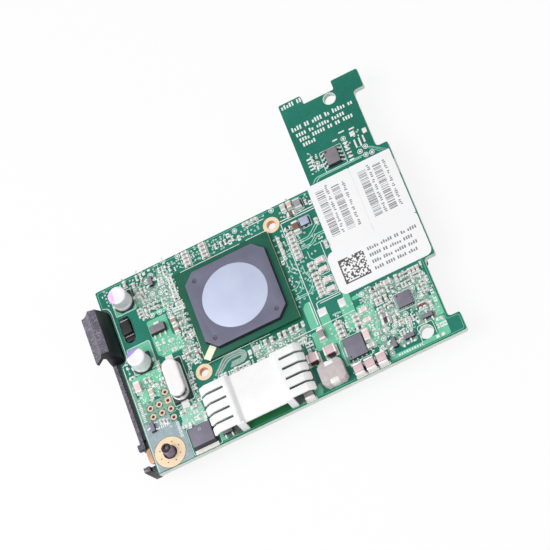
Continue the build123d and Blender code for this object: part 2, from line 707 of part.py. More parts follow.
def flat_body(chip):
    cx, cy, length, width, height = chip
    return [block_on(cx, cy, (length, width, height - lead_sheet), lead_sheet)]


def flat_pins(cx, cy, half, count, pitch, angles, proud=flat_pin_proud, width=pin_width):
    pin = block(half - flat_pin_inside, half + proud, -width / 2, width / 2, 0, lead_sheet)
    first = -(count - 1) / 2 * pitch
    return [turned(Pos(0, first + i * pitch, 0) * pin, cx, cy, angle) for angle in angles for i in range(count)]


def power_chip_pins():
    cx, cy, length, width = power_chip[:4]
    pins = flat_pins(cx, cy, width / 2, power_pin_count, power_pin_pitch, (90, -90), power_pin_proud)
    left, right = cx - length / 2 - power_pad_left, cx + length / 2 - power_pad_right
    return pins + [block(left, right, cy - power_pad_front, cy + power_pad_back, 0, lead_sheet)]


def oscillator_pads():
    cx, cy, length, width = oscillator_chip[:4]
    return flat_pins(cx, cy, width / 2, 2, oscillator_pad_pitch, (90, -90), oscillator_pad_proud,
                     oscillator_pad_width)


def control_chip():
    return (waist_x + control_chip_from_waist, control_chip_y, control_chip_side, control_chip_side,
            control_chip_height)


def control_chip_pins():
    cx, cy, side = control_chip()[:3]
    return flat_pins(cx, cy, side / 2, control_pin_count, control_pin_pitch, (0, 90, 180, 270),
                     width=control_pin_width)


# Round capacitors, crystal and coils

def can_profile():
    r, rim, top, base = can_radius, can_rim_radius, can_height, can_base_height
    edge, groove, depth = can_edge_radius, can_groove_height, can_groove_depth
    rim_top, half = base + can_rim_height, can_groove_half
    outline = Polyline((0, base), (rim, base), (rim, rim_top), (r, rim_top + can_rim_slope), (r, groove - half),
                       (r - depth, groove), (r, groove + half), (r, top - edge))
    shoulder = RadiusArc((r, top - edge), (r - edge, top), -edge)
    closing = Polyline((r - edge, top), (0, top), (0, base))
    return make_face([*outline.edges(), shoulder, *closing.edges()])


def capacitor_cans():
    can = revolve(Plane.XZ * can_profile(), Axis.Z)
    return [Pos(x, y, 0) * can for x, y in can_places]


def capacitor_bases():
    half, cut = can_base_side / 2, can_base_corner
    outline = make_face(Polyline((-half, -half), (half - cut, -half), (half, -half + cut), (half, half - cut),
                                 (half - cut, half), (-half, half), close=True))
    base = extrude(outline, can_base_height)
    width, height = can_tab[1:]
    for side in (-1, 1):
        y0, y1 = sorted((side * (half - can_tab_inside), side * (half + 1)))
        base -= block(-width / 2, width / 2, y0, y1, 0, height)
    return [turned(base, x, y, -90) for x, y in can_places]


def capacitor_tabs():
    length, width, height = can_tab
    half = can_base_side / 2
    tabs = []
    for x, y in can_places:
        for side in (-1, 1):
            x0, x1 = sorted((side * (half - can_tab_inside), side * (half + length)))
            tabs.append(block(x + x0, x + x1, y - width / 2, y + width / 2, 0, height))
    return tabs


def crystal_can_piece():
    width, length = crystal_can
    flange_width, flange_length, flange_height = crystal_flange
    floor = crystal_base[2]
    upright = Rot(0, 0, 90) * SlotOverall(length, width)
    can = Pos(0, 0, floor) * extrude(upright, crystal_height - floor)
    can = fillet(can.faces().sort_by(Axis.Z)[-1].edges(), crystal_edge_radius)
    can += Pos(0, 0, floor) * extrude(Rot(0, 0, 90) * SlotOverall(flange_length, flange_width), flange_height)
    return [Pos(crystal_x, crystal_y, 0) * can]


def crystal_base_piece():
    length = crystal_base[1]
    lead_width, lead_height = crystal_lead[0], crystal_lead[2]
    base = block_on(crystal_x, crystal_y, crystal_base)
    for side in (-1, 1):
        inner = side * (length / 2 - crystal_lead_inside)
        y0, y1 = sorted((crystal_y + inner, crystal_y + side * length))
        base -= block(crystal_x - lead_width / 2, crystal_x + lead_width / 2, y0, y1, 0, lead_height)
    return [base]


def crystal_leads():
    length = crystal_base[1]
    width, reach, height = crystal_lead
    leads = []
    for side in (-1, 1):
        inner, outer = side * (length / 2 - crystal_lead_inside), side * (length / 2 + reach)
        y0, y1 = sorted((crystal_y + inner, crystal_y + outer))
        leads.append(block(crystal_x - width / 2, crystal_x + width / 2, y0, y1, 0, height))
    return leads


def inductor_core():
    length, width, height = coil_body
    sheet = coil_clip_sheet
    core = extrude(cut_rectangle(length, width, coil_corner), height)
    for side in (-1, 1):
        y0, y1 = sorted((side * (width / 2 - sheet), side * (width / 2 + 1)))
        core -= block(-coil_clip_width / 2, coil_clip_width / 2, y0, y1, 0, height)
        y0, y1 = sorted((side * (width / 2 - coil_clip_lap), side * (width / 2 + 1)))
        core -= block(-coil_clip_width / 2, coil_clip_width / 2, y0, y1, height - sheet, height)
        core -= block(-coil_clip_width / 2, coil_clip_width / 2, y0, y1, 0, sheet)
    return [Pos(coil_x, coil_y, 0) * core]


def cut_rectangle(length, width, corner):
    a, b = length / 2, width / 2
    return make_face(Polyline((-a + corner, -b), (a - corner, -b), (a, -b + corner), (a, b - corner),
                              (a - corner, b), (-a + corner, b), (-a, b - corner), (-a, -b + corner),
                              close=True))


def inductor_clips():
    # A strip on each side that is folded over onto the top and under the bottom.
    width, height, sheet = coil_body[1], coil_body[2], coil_clip_sheet
    outer, inner = width / 2, width / 2 - coil_clip_lap
    line = [(inner, sheet / 2), (outer - sheet / 2, sheet / 2), (outer - sheet / 2, height - sheet / 2),
            (inner, height - sheet / 2)]
    left, right = beside(line, sheet / 2), beside(line, -sheet / 2)
    cut_edge = make_face(Polyline(*left, *right[::-1], close=True))
    clip = along_y(cut_edge, -coil_clip_width / 2, coil_clip_width / 2)
    return [turned(clip, coil_x, coil_y, angle) for angle in (90, -90)]


# Two-ended chips

def ended_chip(size, way, cx, cy):
    length, width, height, end = size
    angle = 0 if way == "x" else 90
    inner = length / 2 - end
    body = turned(block(-inner, inner, -width / 2, width / 2, 0, height), cx, cy, angle)
    metal = block(inner, length / 2, -width / 2 - end_proud, width / 2 + end_proud, 0, height + end_proud)
    return body, [turned(metal, cx, cy, angle), turned(metal, cx, cy, angle + 180)]


def fired_chips(table, datum_x=0.0):
    # A chip is one fired block whose two ends carry metal, so each is one solid.
    chips = []
    for name, way, x, y in table:
        body, ends = ended_chip(chip_sizes[name], way, datum_x + x, y)
        chips.append(body + ends[0] + ends[1])
    return chips


def large_capacitor_pieces():
    bodies, ends = [], []
    for name, way, x, y in large_capacitors:
        body, metal = ended_chip(chip_sizes[name], way, x, y)
        bodies.append(body)
        ends += metal
    return bodies, ends


def filter_coil():
    length, width, height = filter_body
    return ended_chip((width + 2 * filter_end, length, height, filter_end), "y", filter_x, filter_y)


# Labels

def label(x0, x1, y0, y1, radii):
    corners = [(x0, y0), (x1, y0), (x1, y1), (x0, y1)]
    return [extrude(filled(corners, radii), label_thickness)]


def left_label():
    return label(label_left, label_split, data_label_top, barcode_label_top,
                 [0, 0, barcode_label_radius, barcode_label_radius])


def right_label():
    return label(label_split, board_width - label_margin, data_label_top, barcode_label_top,
                 [0, 0, barcode_label_radius, barcode_label_radius])


def data_label():
    left, right, r = label_left - data_label_overhang, board_width - label_margin, data_label_radius
    return label(left, right, data_label_bottom, data_label_top, [r, r, r / 2, r])


# Edge clip, bushing and screw

def clip_grip():
    # The moulding in the notch: it rises through the board and curls over outwards as a thumb rest.
    inner = grip_notch_depth - grip_clearance
    low_y, high_y = grip_notch_bottom + grip_slant, grip_top
    sides = Polyline((rail_outer_x, rest_z), (inner, rest_z), (inner, grip_clearance),
                     (grip_inner_x, grip_height), (peak_x, peak_z), (dip_x, dip_z))
    rest = RadiusArc((dip_x, dip_z), (lip_x, lip_z), lip_arc_radius)
    under_out, under_down = under_lip
    under = Polyline((lip_x, lip_z), (lip_x + lip_edge_lean, lip_z - lip_thickness),
                     (rail_outer_x - under_out, peak_z - under_down), (rail_outer_x, peak_z - under_lip_end),
                     (rail_outer_x, rest_z))
    grip = along_y(make_face([*sides.edges(), rest, *under.edges()]), low_y, high_y)
    slant = Polyline((low_y - 1, 0), (low_y, 0), (low_y + grip_slant, grip_height),
                     (low_y + grip_slant, peak_z + 1), (low_y - 1, peak_z + 1), close=True)
    grip -= Pos(lip_x - 1, 0, 0) * (Plane.YZ * extrude(make_face(slant), inner - lip_x + 2))
    wall = grip_pocket_wall
    grip -= block(rail_outer_x + wall, inner - wall, low_y + wall, high_y - wall, rest_z, board_bottom)
    return grip


def clip_floor_outline():
    # The plate under the board: along the edge, under the slot and round the bushing.
    edge = make_face(Polyline((rail_outer_x, rail_bottom), (clip_floor_reach, rail_bottom),
                              (clip_floor_reach, grip_top), (rail_outer_x, grip_top), close=True))
    slot_right = slot_x + slot_width / 2 + slot_frame
    under_slot = Pos(slot_right / 2, slot_y) * Rectangle(slot_right, slot_length + 2 * slot_frame)
    front, back = clip_floor_front, screw_y + floor_round_screw
    round_screw = Pos(screw_x, (front + back) / 2) * Rectangle(2 * floor_round_screw, back - front)
    return edge + under_slot + round_screw


def edge_clip():
    gap = plating_rise + bushing_flange_thickness
    floor_bottom = clip_floor_bottom()
    clip = Pos(0, 0, floor_bottom) * extrude(clip_floor_outline(), clip_floor)
    clip += block(rail_outer_x, clip_floor_reach, rail_bottom + ledge_start, grip_top, floor_bottom,
                  board_bottom)
    frame_half = slot_length / 2 + slot_frame
    clip += block(clip_floor_reach - 1, slot_x + slot_width / 2 + slot_frame, slot_y - frame_half,
                  slot_y + frame_half, floor_bottom, board_bottom)
    clip -= disc(screw_x, screw_y, bushing_flange_radius + bushing_floor_clearance, board_bottom - gap,
                 board_bottom)
    wall_top = board_bottom + rail_rise
    rail = block(rail_outer_x, rail_outer_x + rail_wall, rail_bottom, rail_top + 1, rest_z, wall_top)
    rail -= block(rail_outer_x, rail_outer_x + rail_wall, rail_bottom, rail_bottom + rail_end_length, rest_z,
                  wall_top - rail_end_depth)
    clip += rail
    clip += block(rail_outer_x - lug_reach, rail_outer_x, rail_bottom, rail_bottom + lug_width,
                  wall_top - lug_height, wall_top)
    foot = Polyline((leg_head_x, wall_top), (leg_head_x + leg_thickness, wall_top),
                    (leg_head_x + leg_lean + leg_thickness, rest_z), (leg_head_x + leg_lean, rest_z),
                    close=True)
    clip += along_y(make_face(foot), leg_bottom, leg_top)
    clip += block(leg_head_x + leg_strut_start, screw_x - floor_round_screw + leg_strut_lap, leg_bottom,
                  leg_top, floor_bottom, board_bottom - gap)
    clip -= disc(screw_x, screw_y, bushing_radius + bushing_clearance, rest_z - 1, board_bottom)
    clip += clip_grip()
    half = hook_width / 2
    front, back = slot_y + hook_front, slot_y + hook_back
    profile = Polyline((front, floor_bottom), (back, floor_bottom), (back, hook_gap),
                       (slot_y + slot_length / 2 + hook_barb, hook_gap), (back, hook_rise), (front, hook_rise),
                       close=True)
    clip += Pos(slot_x - half, 0, 0) * (Plane.YZ * extrude(make_face(profile), hook_width))
    clip += block(slot_x - half, slot_x + half, slot_y + latch_front, slot_y + latch_back, floor_bottom,
                  -latch_drop)
    return [clip]


def clip_floor_bottom():
    return board_bottom - plating_rise - bushing_flange_thickness - clip_floor


def brass_bushing():
    # Flange under the board with a tab that shows at the board's edge, and a sleeve through the clip's plate.
    seat = board_bottom - plating_rise
    left, right, front, back = bushing_tab
    tab = Pos((left + right) / 2, (front + back) / 2) * RectangleRounded(right - left, back - front,
                                                                         bushing_tab_corner)
    flange = Pos(0, 0, seat - bushing_flange_thickness) * extrude(tab, bushing_flange_thickness)
    flange += disc(screw_x, screw_y, bushing_flange_radius, seat - bushing_flange_thickness, seat)
    flange &= block(-board_width, board_width, bushing_edge_margin, board_depth, rest_z, 0)
    bushing = flange + disc(screw_x, screw_y, bushing_radius, clip_floor_bottom(), seat)
    bushing -= disc(screw_x, screw_y, screw_radius + screw_clearance, rest_z, 0)
    return [bushing]


def clip_screw():
    head_z = clip_floor_bottom() - screw_head_height
    screw = disc(screw_x, screw_y, screw_head_radius, head_z, head_z + screw_head_height)
    shank = disc(screw_x, screw_y, screw_radius, head_z, screw_rise)
    shank = chamfer(shank.faces().sort_by(Axis.Z)[-1].edges(), screw_tip_chamfer)
    screw += shank
    socket = Pos(screw_x, screw_y, screw_rise - screw_socket_depth)
    screw -= socket * extrude(RegularPolygon(screw_socket_radius, 6), screw_socket_depth)
    return [screw]


# Plug and small parts on the underside

def plug_housing():
    width, length = plug_size
    top, bottom = board_bottom, rest_z
    outline = RectangleRounded(width, length, plug_corner)
    housing = Pos(0, 0, bottom) * extrude(outline, top - bottom)
    inside = block(-width / 2 + plug_rim, width / 2 - plug_rim, -length / 2 + plug_rim, length / 2 - plug_rim,
                   bottom, bottom + plug_recess)
    housing -= inside
    for side in (-1, 1):
        y0, y1 = sorted((side * (length / 2 - plug_key_depth), side * (length / 2 + 1)))
        housing -= block(-plug_key_width / 2, plug_key_width / 2, y0, y1, bottom, top - plug_key_stop)
    return [Pos(plug_x, plug_y, 0) * housing]


def plug_contacts():
    length, width = contact_size
    floor = rest_z + plug_recess
    contacts = []
    for i in range(contact_columns):
        for j in range(contact_rows):
            x = plug_x + (i - (contact_columns - 1) / 2) * contact_pitch
            y = plug_y + (j - (contact_rows - 1) / 2) * contact_pitch
            contacts.append(block_on(x, y, (length, width, contact_height), floor - contact_height))
    return contacts


def underside_chips():
    bodies, leads = [], []
    for x, y, way in bottom_chips:
        angle = 0 if way == "x" else 90
        bodies.append(on_underside(turned(moulded_body(0, 0, bottom_chip_body), x, y, angle)))
        for turn in (90, -90):
            leads += [on_underside(lead) for lead in
                      row_of_leads(x, y, bottom_chip_body[1] / 2, bottom_chip_body[2], memory_pin_pitch,
                                   memory_pin_count, angle + turn)]
    return bodies, leads


def underside_fired_chips():
    table = list(bottom_fired_chips)
    for i in range(decoupling_columns):
        for j in range(decoupling_rows):
            x = chip_x + (i - (decoupling_columns - 1) / 2) * decoupling_pitch
            y = chip_y + (j - (decoupling_rows - 1) / 2) * decoupling_pitch
            table.append(("0402", "x", x, y))
    return [on_underside(chip) for chip in fired_chips(table)]


# All pieces by name

def all_nodes():
    large_bodies, large_ends = large_capacitor_pieces()
    filter_core, filter_ends = filter_coil()
    under_bodies, under_leads = underside_chips()
    return {
        "circuit_board": circuit_board(),
        "sink_hole_rings": sink_hole_rings(),
        "screw_pad": screw_pad(),
        "header_pads": header_pads(),
        "controller_balls": controller_balls(),
        "controller_substrate": controller_substrate(),
        "controller_mould": controller_mould(),
        "controller_heat_slug": controller_heat_slug(),
        "controller_gate": controller_gate(),
        "heat_sink": heat_sink(),
        "cooled_device_body": cooled_device_body(),
        "cooled_device_tab": cooled_device_tab(),
        "cooled_device_leads": cooled_device_leads(),
        "regulator_body": regulator_body_piece(),
        "regulator_tab": regulator_tab_piece(),
        "regulator_leads": regulator_leads(),
        "round_capacitor_cans": capacitor_cans(),
        "round_capacitor_bases": capacitor_bases(),
        "round_capacitor_tabs": capacitor_tabs(),
        "crystal_can": crystal_can_piece(),
        "crystal_base": crystal_base_piece(),
        "crystal_leads": crystal_leads(),
        "inductor_core": inductor_core(),
        "inductor_clips": inductor_clips(),
        "power_chip_body": flat_body(power_chip),
        "power_chip_pins": power_chip_pins(),
        "oscillator_body": flat_body(oscillator_chip),
        "oscillator_pads": oscillator_pads(),
        "control_chip_body": flat_body(control_chip()),
        "control_chip_pins": control_chip_pins(),
        "memory_chip_body": memory_body_piece(),
        "memory_chip_leads": memory_leads(),
        "tab_transistor_body": tab_transistor_body_piece(),
        "tab_transistor_leads": tab_transistor_leads(),
        "small_transistor_bodies": small_transistor_bodies(),
        "small_transistor_leads": small_transistor_leads(),
        "filter_coil_body": [filter_core],
        "filter_coil_ends": filter_ends,
        "large_capacitor_bodies": large_bodies,
        "large_capacitor_ends": large_ends,
        "left_edge_chips": fired_chips(left_chips),
        "top_row_chips": fired_chips(top_row_chips),
        "low_row_chips": fired_chips(low_row_chips),
        "middle_chips": fired_chips(middle_chips),
        "power_chips": fired_chips(power_chips),
        "corner_chips": fired_chips(corner_chips, waist_x),
        "tongue_chips": fired_chips(tongue_chips, waist_x),
        "left_barcode_label": left_label(),
        "right_barcode_label": right_label(),
        "data_label": data_label(),
        "edge_clip": edge_clip(),
        "brass_bushing": brass_bushing(),
        "clip_screw": clip_screw(),
        "plug_housing": plug_housing(),
        "plug_contacts": plug_contacts(),
        "underside_chip_bodies": under_bodies,
        "underside_chip_leads": under_leads,
        "underside_fired_chips": underside_fired_chips(),
    }


def main():
    os.makedirs("parts", exist_ok=True)
    to_row_frame = Pos(-(board_width + lip_x) / 2, -board_depth / 2, -rest_z)
    for name, shapes in all_nodes().items():
        solids = [solid for shape in shapes for solid in (to_row_frame * shape).solids()]
        export_step(Compound(solids), f"parts/{name}.step")


main()
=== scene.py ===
import contextlib
import math
import random

import bmesh
import bpy
from mathutils import Matrix, Vector


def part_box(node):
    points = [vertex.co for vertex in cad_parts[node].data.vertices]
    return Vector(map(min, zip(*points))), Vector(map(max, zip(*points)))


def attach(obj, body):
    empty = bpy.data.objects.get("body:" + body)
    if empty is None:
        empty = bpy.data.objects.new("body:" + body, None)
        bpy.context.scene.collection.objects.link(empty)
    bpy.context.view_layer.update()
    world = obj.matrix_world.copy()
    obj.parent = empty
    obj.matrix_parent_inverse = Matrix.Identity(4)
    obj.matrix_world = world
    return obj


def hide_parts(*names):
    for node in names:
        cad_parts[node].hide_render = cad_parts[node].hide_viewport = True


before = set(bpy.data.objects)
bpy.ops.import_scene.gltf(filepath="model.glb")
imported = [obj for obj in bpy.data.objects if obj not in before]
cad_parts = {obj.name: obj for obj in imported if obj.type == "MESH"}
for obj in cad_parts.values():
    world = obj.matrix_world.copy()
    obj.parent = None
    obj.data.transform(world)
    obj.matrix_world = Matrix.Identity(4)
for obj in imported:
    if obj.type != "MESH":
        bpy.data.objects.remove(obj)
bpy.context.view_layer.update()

boardLow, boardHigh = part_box("circuit_board")
boardOrigin = Vector((boardLow.x, boardLow.y, boardHigh.z))
mm = 0.001
boardThick = (boardHigh.z - boardLow.z) / mm
print("frame loaded,", len(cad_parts), "nodes")


# Colours and the shader's sockets.

def linear(colour):
    return tuple(((c / 255 + 0.055) / 1.055) ** 2.4 if c > 10 else c / 255 / 12.92 for c in colour) + (1.0,)


class Wire:  # a socket; arithmetic on it adds Math nodes
    def __init__(self, tree, socket=None):
        self.tree, self.socket = tree, socket

    def feed(self, made, sockets):
        for key, value in sockets.items():
            if isinstance(value, Wire):
                self.tree.links.new(value.socket, made.inputs[key])
            else:
                made.inputs[key].default_value = value

    def node(self, kind, settings=None, sockets=None, out=0):
        made = self.tree.nodes.new("ShaderNode" + kind)
        for key, value in (settings or {}).items():
            setattr(made, key, value)
        self.feed(made, sockets or {})
        return Wire(self.tree, made.outputs[out])

    def math(self, operation, a, b=0.0):
        return self.node("Math", {"operation": operation}, {0: a, 1: b})

    def __add__(self, other):
        return self.math("ADD", self, other)

    def __sub__(self, other):
        return self.math("SUBTRACT", self, other)

    def __rsub__(self, other):
        return self.math("SUBTRACT", other, self)

    def __mul__(self, other):
        return self.math("MULTIPLY", self, other)

    def __gt__(self, other):
        return self.math("GREATER_THAN", self, other)

    def __lt__(self, other):
        return self.math("LESS_THAN", self, other)

    def __abs__(self):
        return self.math("ABSOLUTE", self)

    __radd__, __rmul__ = __add__, __mul__

    def swing(self, share):  # a noise's way off its middle
        return (self - 0.5) * share

    def mixed(self, low, high):  # this factor runs from one colour to the other
        return self.node("Mix", {"data_type": "RGBA"}, {0: self, 6: low, 7: high}, 2)

    def tinted(self, look):
        return self.mixed(linear(look["dark"]), linear(look["light"]))

    def place(self, stretch=(1, 1, 1)):  # where the surface is, in millimetres
        spot = self.node("TexCoord", out="Object")
        return self.node("VectorMath", {"operation": "MULTIPLY"},
                         {0: spot, 1: tuple(1 / mm * s for s in stretch)})

    def noise(self, spot, size, detail=2.0):  # size is the patches' width in millimetres
        return self.node("TexNoise", None, {"Vector": spot, "Scale": 1 / size, "Detail": detail})

    def bump(self, height, depth):  # depth in millimetres
        return self.node("Bump", None, {"Height": height, "Distance": depth * mm, "Strength": 1.0})

    def outputs(self):
        return {s.name: Wire(self.tree, s) for s in self.socket.node.outputs}

    def parts(self):
        return list(self.node("SeparateXYZ", None, {0: self}).outputs().values())

    def normal(self):
        return self.node("NewGeometry", out="Normal").parts()

    def direct(self):
        # 1 for the rays that show a thing, also mirrored or through glass; 0 for its light on others.
        rays = self.node("LightPath").outputs()
        seen = self.math("MAXIMUM", rays["Is Camera Ray"], rays["Is Glossy Ray"])
        return self.math("MAXIMUM", seen, rays["Is Transmission Ray"])


def finish(name, recipe, look):
    material = bpy.data.materials.new(name)
    material.use_nodes = True
    wire = Wire(material.node_tree)
    wire.feed(material.node_tree.nodes["Principled BSDF"], recipe(wire, look))
    material.diffuse_color = linear(look["light"])
    return material


# Shapes, drawn in the board's own millimetres from its lower left corner.

def rowPoint(x, y, z):
    return Vector((x, y, z)) * mm + boardOrigin


def boardBox(node):
    low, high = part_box(node)
    return (low - boardOrigin) / mm, (high - boardOrigin) / mm


def middle(low, high):
    return (low[0] + high[0]) / 2, (low[1] + high[1]) / 2


def around(x, y, a, b=None, margin=0.0):
    # Low x, low y, high x and high y of a box round a point.
    b = a if b is None else b
    return x - a - margin, y - b - margin, x + a + margin, y + b + margin


def grown(low, high, margin):
    return low[0] - margin, low[1] - margin, high[0] + margin, high[1] + margin


def rectangle(x0, x1, y0, y1):
    return [(x0, y0), (x1, y0), (x1, y1), (x0, y1)]


def centred(x, y, a, b):
    return rectangle(x - a, x + a, y - b, y + b)


def corner(before, here, after, radius, steps):
    a, b = before - here, after - here
    reach = min(radius, a.length * 0.48, b.length * 0.48)
    start, end = here + a.normalized() * reach, here + b.normalized() * reach
    return [start * (1 - t) ** 2 + here * 2 * t * (1 - t) + end * t ** 2
            for t in (step / steps for step in range(steps + 1))]


def rounded(outline, radius, steps=3):
    ring = [Vector(p) for p in outline]
    return [spot for before, here, after in zip(ring[-1:] + ring, ring, ring[1:] + ring[:1])
            for spot in corner(before, here, after, radius, steps)]


def bent(points, radius, steps=3):
    # An open line with its corners rounded.
    line = [Vector(p) for p in points]
    inner = [spot for trio in zip(line, line[1:], line[2:]) for spot in corner(*trio, radius, steps)]
    return [line[0], *inner, line[-1]]


def spun(points, cx, cy, angle):
    c, s = math.cos(math.radians(angle)), math.sin(math.radians(angle))
    return [(cx + x * c - y * s, cy + x * s + y * c) for x, y in points]


def stepped(cx, cy, angle, reach):
    return spun([(reach, 0)], cx, cy, angle)[0]


def arc(cx, cy, radius, start, end, steps=16):
    ways = [math.radians(start + (end - start) * i / steps) for i in range(steps + 1)]
    return [(cx + radius * math.cos(way), cy + radius * math.sin(way)) for way in ways]


def circle(cx, cy, radius, sides):
    ways = [2 * math.pi * i / sides for i in range(sides)]
    return [(cx + radius * math.cos(way), cy + radius * math.sin(way)) for way in ways]


def added(name, data):
    made = bpy.data.objects.new(name, data)
    bpy.context.scene.collection.objects.link(made)
    return made


@contextlib.contextmanager
def edited(mesh):
    work = bmesh.new()
    work.from_mesh(mesh)
    yield work
    work.to_mesh(mesh)
    work.free()


class Shape:  # gathers faces, then becomes one piece
    def __init__(self):
        self.points, self.faces, self.inks = [], [], []

    def loft(self, rings, ink=0):
        start, count = len(self.points), len(rings[0])
        for ring in rings:
            self.points += [tuple(p) for p in ring]
        for base in range(start, start + (len(rings) - 1) * count, count):
            sides = [(base + i, base + (i + 1) % count) for i in range(count)]
            self.faces += [(a, b, b + count, a + count) for a, b in sides]
        last = len(self.points) - count
        self.faces += [tuple(range(start + count - 1, start - 1, -1)), tuple(range(last, last + count))]
        self.inks += [ink] * (len(self.faces) - len(self.inks))

    def prism(self, outline, low, high):
        self.loft([[(x, y, z) for x, y in outline] for z in (low, high)])

    def ribbon(self, path, width, low, high):
        line = [Vector(p) for p in path]
        rings = []
        for i, here in enumerate(line):
            near = line[max(i - 1, 0):i + 2]
            ways = [(b - a).normalized() for a, b in zip(near, near[1:])]
            side = sum((Vector((-w.y, w.x)) for w in ways), Vector((0, 0))).normalized()
            square = side * (width / 2 / max(0.4, side.dot(Vector((-ways[0].y, ways[0].x)))))
            left, right = here + square, here - square
            rings.append([(*right, low), (*right, high), (*left, high), (*left, low)])
        self.loft(rings)

    def pillow(self, cx, cy, length, width, low, high, edge, ink=0, foot=0.0):
        rings = []
        for z, inset in ((low, foot), (low + foot, 0.0), (high - edge, 0.0), (high - edge * 0.3, edge * 0.3),
                         (high, edge)):
            a, b = length / 2 - inset, width / 2 - inset
            cut = max(0.02, edge * 0.8 - inset * 0.3)
            outline = [(-a + cut, -b), (a - cut, -b), (a, -b + cut), (a, b - cut), (a - cut, b),
                       (-a + cut, b), (-a, b - cut), (-a, -b + cut)]
            rings.append([(cx + x, cy + y, z) for x, y in outline])
        self.loft(rings if foot else rings[1:], ink)

    def disc(self, cx, cy, radius, low, high, sides=12):
        self.prism(circle(cx, cy, radius, sides), low, high)

    def washer(self, cx, cy, inner, outer, low, high, sides=20):
        # The ring's cut face is carried round the hole.
        start = len(self.points)
        for (x0, y0), (x1, y1) in zip(circle(cx, cy, inner, sides), circle(cx, cy, outer, sides)):
            self.points += [(x0, y0, low), (x1, y1, low), (x1, y1, high), (x0, y0, high)]
        for i in range(sides):
            a, b = start + i * 4, start + (i + 1) % sides * 4
            self.faces += [(a + k, a + (k + 1) % 4, b + (k + 1) % 4, b + k) for k in range(4)]
        self.inks += [0] * (4 * sides)

    def lathe(self, cx, cy, profile, sides=40):
        self.loft([[(x, y, z) for x, y in circle(cx, cy, max(radius, 1e-4), sides)] for radius, z in profile])

    def piece(self, name, materials, slot, standsFor=(), crease=38):
        mesh = bpy.data.meshes.new(name)
        mesh.from_pydata([rowPoint(*p) for p in self.points], [], self.faces)
        for material in materials:
            mesh.materials.append(material)
        mesh.polygons.foreach_set("material_index", self.inks)
        with edited(mesh) as work:
            bmesh.ops.recalc_face_normals(work, faces=work.faces)
        return shown(mesh, standsFor, crease)


def shown(mesh, standsFor=(), crease=38):
    mesh.polygons.foreach_set("use_smooth", [True] * len(mesh.polygons))
    mesh.set_sharp_from_angle(angle=math.radians(crease))
    made = added(mesh.name, mesh)
    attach(made, "root")
    if standsFor:
        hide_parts(*standsFor)
    return made


edges = {"merge": 1e-6, "flat": 0.6, "hard": 30, "segments": 2, "profile": 0.6}  # of a node that is softened


def softened(node, material, width):
    # A node's own shape with its hard edges rounded.
    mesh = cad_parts[node].data.copy()
    mesh.name = "dressed_" + node
    with edited(mesh) as work:
        bmesh.ops.remove_doubles(work, verts=work.verts, dist=edges["merge"])
        bmesh.ops.dissolve_limit(work, angle_limit=math.radians(edges["flat"]), verts=work.verts,
                                 edges=work.edges)
        hard = [edge for edge in work.edges if len(edge.link_faces) == 2
                and edge.calc_face_angle(0) > math.radians(edges["hard"])]
        bmesh.ops.bevel(work, geom=hard, offset=width * mm, segments=edges["segments"],
                        profile=edges["profile"], affect="EDGES", clamp_overlap=True)
    mesh.materials.clear()
    mesh.materials.append(material)
    mesh.polygons.foreach_set("material_index", [0] * len(mesh.polygons))
    shown(mesh, (node,))


def solidBoxes(node):
    # The boxes of a node's separate solids, in the board's millimetres.
    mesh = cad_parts[node].data
    keys = [tuple(round(c * 1e7) for c in v.co) for v in mesh.vertices]
    home = {key: key for key in keys}

    def root(key):
        while home[key] != key:
            home[key] = home[home[key]]
            key = home[key]
        return key

    for polygon in mesh.polygons:
        first = root(keys[polygon.vertices[0]])
        for v in polygon.vertices[1:]:
            home[root(keys[v])] = first
    groups = {}
    for key, vertex in zip(keys, mesh.vertices):
        groups.setdefault(root(key), []).append((vertex.co - boardOrigin) / mm)
    return sorted([[pick(p[i] for p in points) for i in range(3)] for pick in (min, max)]
                  for points in groups.values())


# Camera, at the photograph's angle.

camera = {"place": (107.43, -338.92, 625.45), "right": (0.8912, -0.3210, -0.3206),
          "up": (0.4305, 0.8213, 0.3744), "back": (0.1431, -0.4717, 0.8701), "lens": 179.57, "sensor": 36,
          "nearest": 0.01}


def placeCamera():
    lens = bpy.data.cameras.new("camera")
    lens.lens, lens.sensor_width, lens.clip_start = camera["lens"], camera["sensor"], camera["nearest"]
    eye = added("camera", lens)
    turn = Matrix((camera["right"], camera["up"], camera["back"])).transposed().to_4x4()
    eye.matrix_world = Matrix.Translation(Vector(camera["place"]) * mm) @ turn
    bpy.context.scene.camera = eye
    bpy.context.scene.view_settings.view_transform = "Standard"


placeCamera()
print("camera placed")


# Light and floor.

studio = {"lamps": {"overhead": ((-0.26, -0.12, 0.48), 0.4, 1.55),  # place, size, power
                    "key": ((-0.45, 0.12, 0.4), 0.3, 0.6), "fill": ((0.34, -0.34, 0.16), 0.3, 0.4)},
          "aim": (0, 0, 0.01), "sky": 0.5, "white": (255, 255, 255),
          "ramp": [(0.2, (120, 122, 128)), (0.5, (206, 208, 212)), (0.8, (255, 255, 255))],
          "dark": (246, 246, 248), "light": (250, 250, 251), "rough": 0.9, "glow": 0.88, "reach": 3}


